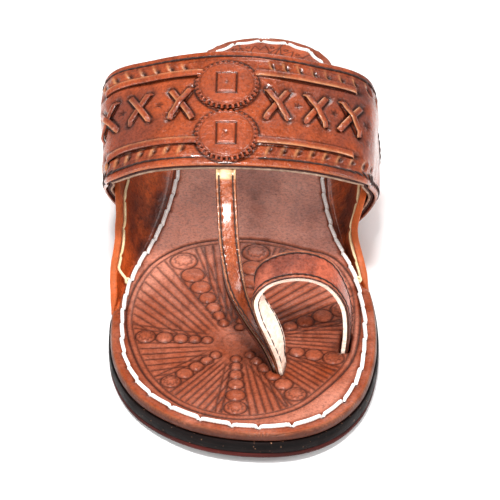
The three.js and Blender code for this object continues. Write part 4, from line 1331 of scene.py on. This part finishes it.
def cord_tree():
    """A round cord along every line of the mesh, as thick as each point's girth says."""
    tree, given, result = node_tree("cord_along_lines", [
        ("Thickness", "NodeSocketFloat", 0.001), ("Sides", "NodeSocketInt", 8),
        ("Finish", "NodeSocketMaterial", None)])
    add, link = tree.nodes.new, tree.links.new
    curve = add("GeometryNodeMeshToCurve")
    link(given.outputs["Geometry"], curve.inputs[0])
    length = add("GeometryNodeSplineParameter")
    run = add("GeometryNodeStoreNamedAttribute")
    run.inputs["Name"].default_value = "cord_run"
    link(curve.outputs[0], run.inputs["Geometry"])
    link(length.outputs["Length"], run.inputs["Value"])
    circle = add("GeometryNodeCurvePrimitiveCircle")
    link(given.outputs["Sides"], circle.inputs["Resolution"])
    circle.inputs["Radius"].default_value = 0.5
    round_ = add("GeometryNodeStoreNamedAttribute")
    round_.inputs["Name"].default_value = "cord_round"
    link(circle.outputs[0], round_.inputs["Geometry"])
    link(add("GeometryNodeSplineParameter").outputs["Factor"], round_.inputs["Value"])
    girth = add("ShaderNodeMath")
    girth.operation = "MULTIPLY"
    link(named(tree, "girth", "FLOAT"), girth.inputs[0])
    link(given.outputs["Thickness"], girth.inputs[1])
    radius = add("GeometryNodeSetCurveRadius")
    link(run.outputs[0], radius.inputs[0])
    link(girth.outputs[0], radius.inputs["Radius"])
    sweep = add("GeometryNodeCurveToMesh")
    link(radius.outputs[0], sweep.inputs["Curve"])
    link(round_.outputs[0], sweep.inputs["Profile Curve"])
    if "Scale" in sweep.inputs:
        link(girth.outputs[0], sweep.inputs["Scale"])
    sweep.inputs["Fill Caps"].default_value = True
    end_tree(tree, given, result, sweep.outputs[0])
    return tree


def stitch_tree():
    """A short arched stitch on every point, turned along its run and stood on its up."""
    tree, given, result = node_tree("stitch_on_points", [
        ("Thickness", "NodeSocketFloat", 0.0006), ("Arch", "NodeSocketFloat", 0.3),
        ("Finish", "NodeSocketMaterial", None)])
    add, link = tree.nodes.new, tree.links.new
    arch = add("GeometryNodeCurveQuadraticBezier")
    arch.inputs["Resolution"].default_value = 6
    arch.inputs["Start"].default_value = (-0.5, 0, -0.35)
    arch.inputs["End"].default_value = (0.5, 0, -0.35)
    peak = add("ShaderNodeCombineXYZ")
    link(given.outputs["Arch"], peak.inputs["Z"])
    link(peak.outputs[0], arch.inputs["Middle"])
    circle = add("GeometryNodeCurvePrimitiveCircle")
    circle.inputs["Resolution"].default_value = 6
    circle.inputs["Radius"].default_value = 0.5
    sweep = add("GeometryNodeCurveToMesh")
    link(arch.outputs[0], sweep.inputs["Curve"])
    link(circle.outputs[0], sweep.inputs["Profile Curve"])
    sweep.inputs["Fill Caps"].default_value = True
    along = add("FunctionNodeAlignRotationToVector")
    along.axis = "X"
    link(named(tree, "stitch_run", "FLOAT_VECTOR"), along.inputs["Vector"])
    upright = add("FunctionNodeAlignRotationToVector")
    upright.axis, upright.pivot_axis = "Z", "X"
    link(along.outputs[0], upright.inputs["Rotation"])
    link(named(tree, "stitch_up", "FLOAT_VECTOR"), upright.inputs["Vector"])
    size = add("ShaderNodeCombineXYZ")
    link(named(tree, "stitch_long", "FLOAT"), size.inputs["X"])
    link(given.outputs["Thickness"], size.inputs["Y"])
    link(given.outputs["Thickness"], size.inputs["Z"])
    place = add("GeometryNodeInstanceOnPoints")
    link(given.outputs["Geometry"], place.inputs["Points"])
    link(sweep.outputs[0], place.inputs["Instance"])
    link(upright.outputs[0], place.inputs["Rotation"])
    link(size.outputs[0], place.inputs["Scale"])
    end_tree(tree, given, result, place.outputs[0])
    return tree


CORD_TREE, STITCH_TREE = cord_tree(), stitch_tree()


def grown(name, mesh, tree, slot, **inputs):
    """Runs a tree on a mesh and keeps the result as a plain mesh."""
    piece = bpy.data.objects.new(name, mesh)
    bpy.context.scene.collection.objects.link(piece)
    modifier = piece.modifiers.new("sewing", "NODES")
    modifier.node_group = tree
    for item in tree.interface.items_tree:
        if item.in_out == "INPUT" and item.name in inputs:
            modifier[item.identifier] = inputs[item.name]
    piece.update_tag()
    result = bpy.data.meshes.new_from_object(piece.evaluated_get(bpy.context.evaluated_depsgraph_get()))
    piece.modifiers.clear()
    piece.data = result
    result.name = name
    if not result.materials:
        result.materials.append(inputs["Finish"])
    return settle(piece)


def sew_lines(name, lines, thickness, finish, slot, sides=8):
    """Cords along separate lines of points, thinner where they dive into the leather."""
    points, edges, girth = [], [], []
    for line, width in lines:
        edges += [(len(points) + k, len(points) + k + 1) for k in range(len(line) - 1)]
        points += metres(line).tolist()
        girth += list(width)
    mesh = bpy.data.meshes.new(name)
    mesh.from_pydata(points, edges, [])
    keep_numbers(mesh, "girth", girth)
    return grown(name, mesh, CORD_TREE, slot, Thickness=thickness * 0.001, Sides=sides, Finish=finish)


def sew_points(name, points, runs, ups, longs, thickness, arch, finish, slot):
    """Short stitches at points, each with its run, its up and its length in millimetres."""
    mesh = bpy.data.meshes.new(name)
    mesh.from_pydata(metres(points).tolist(), [], [])
    for label, values in (("stitch_run", runs), ("stitch_up", ups)):
        numbers = np.asarray(values, np.float32).ravel()
        mesh.attributes.new(label, "FLOAT_VECTOR", "POINT").data.foreach_set("vector", numbers)
    keep_numbers(mesh, "stitch_long", np.asarray(longs, np.float32) * 0.001)
    return grown(name, mesh, STITCH_TREE, slot, Thickness=thickness * 0.001, Arch=arch, Finish=finish)


def sew_sole():
    """White waxed cord round the footbed, each stitch slanting a little and the heel's own bowed inwards."""
    spans = list(zip(JOINTS, np.append(JOINTS[1:], JOINTS[0] + 1)))
    part = np.linspace(0, 1, 15)
    lines = []
    for a, b in spans:
        where = a + (b - a) * (0.035 + 0.93 * part)
        track = STITCH_LINE.at(where % 1.0)
        way = unit(STITCH_LINE.at((where + 0.0008) % 1.0) - STITCH_LINE.at((where - 0.0008) % 1.0))
        into = np.stack([-way[:, 1], way[:, 0]], 1)
        bow = 1.7 * smooth((track[:, 1].mean() - 104) / 10)
        slant = chance.uniform(0.25, 0.55)
        off = slant * (part - 0.5) + bow * (4 * part * (1 - part) - 0.25) + 0.12 * chance.normal()
        track = track + into * off[:, None]
        ends = smooth(np.minimum(part, 1 - part) / 0.09)
        girth = 0.72 + 0.28 * ends + 0.05 * chance.normal()
        lines.append((on_footbed(track[:, 0], track[:, 1], -0.75 + 1.2 * ends), girth))
    sew_lines("white_sole_stitching", lines, 1.6, WHITE_THREAD, "white_thread", 10)
    under = []
    for a, b in spans:
        track = STITCH_LINE.at((a + (b - a) * (0.05 + 0.9 * part)) % 1.0)
        if track[:, 1].max() < LIFT_FRONT - 1:
            ends = smooth(np.minimum(part, 1 - part) / 0.1)
            z = sole_base(track[:, 1]) + 0.75 - 0.12 * ends
            under.append((np.column_stack([track, z]), 0.6 + 0.3 * ends))
    sew_lines("white_outsole_stitching", under, 1.0, WHITE_THREAD, "white_thread", 6)


def sew_ears():
    """Cream thread along each ear's inside, tacked down at even steps and knotted at its front end."""
    lines = []
    for side in (-1, 1):
        path, normal, y, _ = ear_thread_path(side)
        end = on_footbed([side_x(FOOTBED_EDGE, side, 99.0) - side * 1.2], [99.0], 0.25)
        begin = on_footbed([side_x(FOOTBED_EDGE, side, y[0] - 5) - side * 0.9], [y[0] - 5], 0.2)
        full = np.vstack([begin, path, (end + path[-1:]) / 2 + [0, 0, 0.4], end])
        points, length = Route(full).even(120)
        stops = np.arange(0, length, 13.6)
        run = np.linspace(0, length, 120)
        dive = np.exp(-((run[:, None] - stops[None]) / 0.75) ** 2).max(1)
        out = np.zeros_like(points)
        out[:, 0], out[:, 2] = -side * 0.6, 0.8
        lines.append((points + out * (0.3 - 0.85 * dive)[:, None], 1 - 0.25 * dive))
        knot_at = begin[0] + [0, 0, 0.25]
        turn = np.linspace(0, 4 * math.pi, 26)
        loop = [0.75 * np.cos(turn), 1.3 * np.sin(turn), 0.35 + 0.3 * np.sin(turn / 2)]
        knot = knot_at + np.column_stack(loop)
        lines.append((knot, np.full(26, 0.85)))
    sew_lines("cream_ear_stitching", lines, 1.15, CREAM_THREAD, "cream_thread", 8)


def sew_band():
    """Brown stitches along both of the band's edges; the front row stops at the rosette."""
    points, runs, ups, longs = [], [], [], []
    for rear in (True, False):
        for s in np.arange(-BAND_MID + 4, BAND.run[-1] - BAND_MID - 4, 3.5):
            if not rear and abs(s) < 11.8:
                continue
            wide = float(BAND.width(BAND.along_at(BAND_MID + s)))
            t = BAND_ROW_IN if rear else wide - BAND_ROW_IN
            (spot, normal), (ahead, _) = band_spot(s, t, -0.02), band_spot(s + 1, t, -0.02)
            points.append(spot)
            runs.append(ahead - spot)
            ups.append(normal)
            longs.append(2.7 + chance.uniform(-0.2, 0.2))
    sew_points("band_stitching", points, runs, ups, longs, 0.7, 0.75, BROWN_THREAD, "band_leather")


def sew_strip(name, ribbon, thick, pitch, row_in, from_mm, to_mm, face=1):
    """Two rows of brown stitches along a strip, on its face (1) or its lining (-1)."""
    points, runs, ups, longs = [], [], [], []
    for s in np.arange(from_mm, to_mm, pitch) + pitch / 2:
        along, ahead = ribbon.along_at(s), ribbon.along_at(s + 0.6)
        wide = float(ribbon.width(along))
        for across in (row_in / wide, 1 - row_in / wide):
            spot, normal = ribbon.place(along, across, face * (thick / 2 - 0.06))
            points.append(spot)
            runs.append(ribbon.place(ahead, across, face * thick / 2)[0] - spot)
            ups.append(normal * face)
            longs.append(pitch * 0.72)
    sew_points(name, points, runs, ups, longs, 0.5, 0.7, BROWN_THREAD, "band_leather")


# ------------------------------------------------------------------ camera, light and floor


def set_camera():
    """Looks down on the toe from the front, with a long lens."""
    azimuth, elevation, distance = math.radians(1.3), math.radians(35.3), 1.020
    level = math.cos(elevation)
    back = Vector((math.sin(azimuth) * level, -math.cos(azimuth) * level, math.sin(elevation)))
    target = Vector(metres((1.0, -15.5, 9.5)))
    data = bpy.data.cameras.new("camera")
    data.lens, data.sensor_width = 186.0, 36.0
    camera = bpy.data.objects.new("camera", data)
    bpy.context.scene.collection.objects.link(camera)
    camera.location = target + back * distance
    camera.rotation_mode = "QUATERNION"
    camera.rotation_quaternion = (-back).to_track_quat("-Z", "Y")
    data.clip_start, data.clip_end = 0.02, 50
    bpy.context.scene.camera = camera


def softbox(name, direction, distance, size, watts):
    """A white area light, aimed at the middle of the upper."""
    light = bpy.data.lights.new(name, "AREA")
    light.shape, light.size, light.size_y = "RECTANGLE", size[0], size[1]
    light.energy = watts
    box = bpy.data.objects.new(name, light)
    bpy.context.scene.collection.objects.link(box)
    toward = Vector(direction).normalized()
    box.location = Vector((0.0, -0.01, 0.03)) + toward * distance
    box.rotation_mode = "QUATERNION"
    box.rotation_quaternion = toward.to_track_quat("Z", "Y")


def set_studio():
    """Pale paper floor, dim white surroundings, and a small key light that leaves a glare on the strap."""
    floor_mesh = bpy.data.meshes.new("floor")
    floor_mesh.from_pydata([(-6, -6, 0), (6, -6, 0), (6, 6, 0), (-6, 6, 0)], [], [(0, 1, 2, 3)])
    paper = Finish("white_paper", Specular_IOR_Level=0.1)
    tone = paper.mix(paper.noise(3, 2), (0.93, 0.93, 0.93, 1), (0.95, 0.95, 0.95, 1))
    floor_mesh.materials.append(paper.done(tone, 0.9))
    floor = bpy.data.objects.new("floor", floor_mesh)
    bpy.context.scene.collection.objects.link(floor)
    world = bpy.data.worlds.new("studio")
    bpy.context.scene.world = world
    world.use_nodes = True
    surroundings = world.node_tree.nodes["Background"].inputs
    surroundings["Color"].default_value, surroundings["Strength"].default_value = (1, 1, 1, 1), 0.36
    softbox("key_softbox", (-0.06, -0.31, 0.95), 1.2, (0.24, 0.18), 10.5)
    softbox("left_fill", (-0.95, -0.4, 0.5), 1.3, (0.3, 0.6), 5)
    softbox("right_fill", (0.95, -0.4, 0.55), 1.3, (0.3, 0.6), 5.5)
    softbox("rear_fill", (0.1, 0.9, 0.8), 1.3, (0.6, 0.25), 3)
    softbox("front_fill", (0.0, -1.0, 0.34), 1.3, (0.5, 0.3), 6)
    settings = bpy.context.scene.view_settings
    settings.view_transform = "Standard"
    settings.look = "Medium High Contrast"


set_camera()
set_studio()
make_sole()
make_heel_lift()
make_footbed()
make_heel_patch()
make_ear(-1, "ear_lateral_leaf", "ear_lateral")
make_ear(1, "ear_medial_leaf", "ear_medial")
make_band()
make_laces()
for disc in ROSETTES:
    make_rosette(disc)
# the centre strap takes a pale painted glare just below the band
sewn_strip("centre_strap", STRAP, STRAP_THICK, 0.9, STRAP_PITCH, STRAP_ROW_IN,
           STRAP_LEATHER, STRAP_BACK_LEATHER, painted_glare=(10, 15.5))
sewn_strip("toe_ring", RING, RING_THICK, 1.5, RING_PITCH, RING_ROW_IN,
           RING_LEATHER, LINING_LEATHER, stained=0.1)
sew_sole()
sew_ears()
sew_band()
sew_strip("strap_stitching", STRAP, STRAP_THICK, STRAP_PITCH, STRAP_ROW_IN, 13, STRAP.run[-1] - 8)
sew_strip("ring_stitching", RING, RING_THICK, RING_PITCH, RING_ROW_IN, 6, RING.run[-1] - 6)
sew_strip("ring_lining_stitching", RING, RING_THICK, RING_PITCH, 1.0, 4, RING.run[-1] - 6, face=-1)
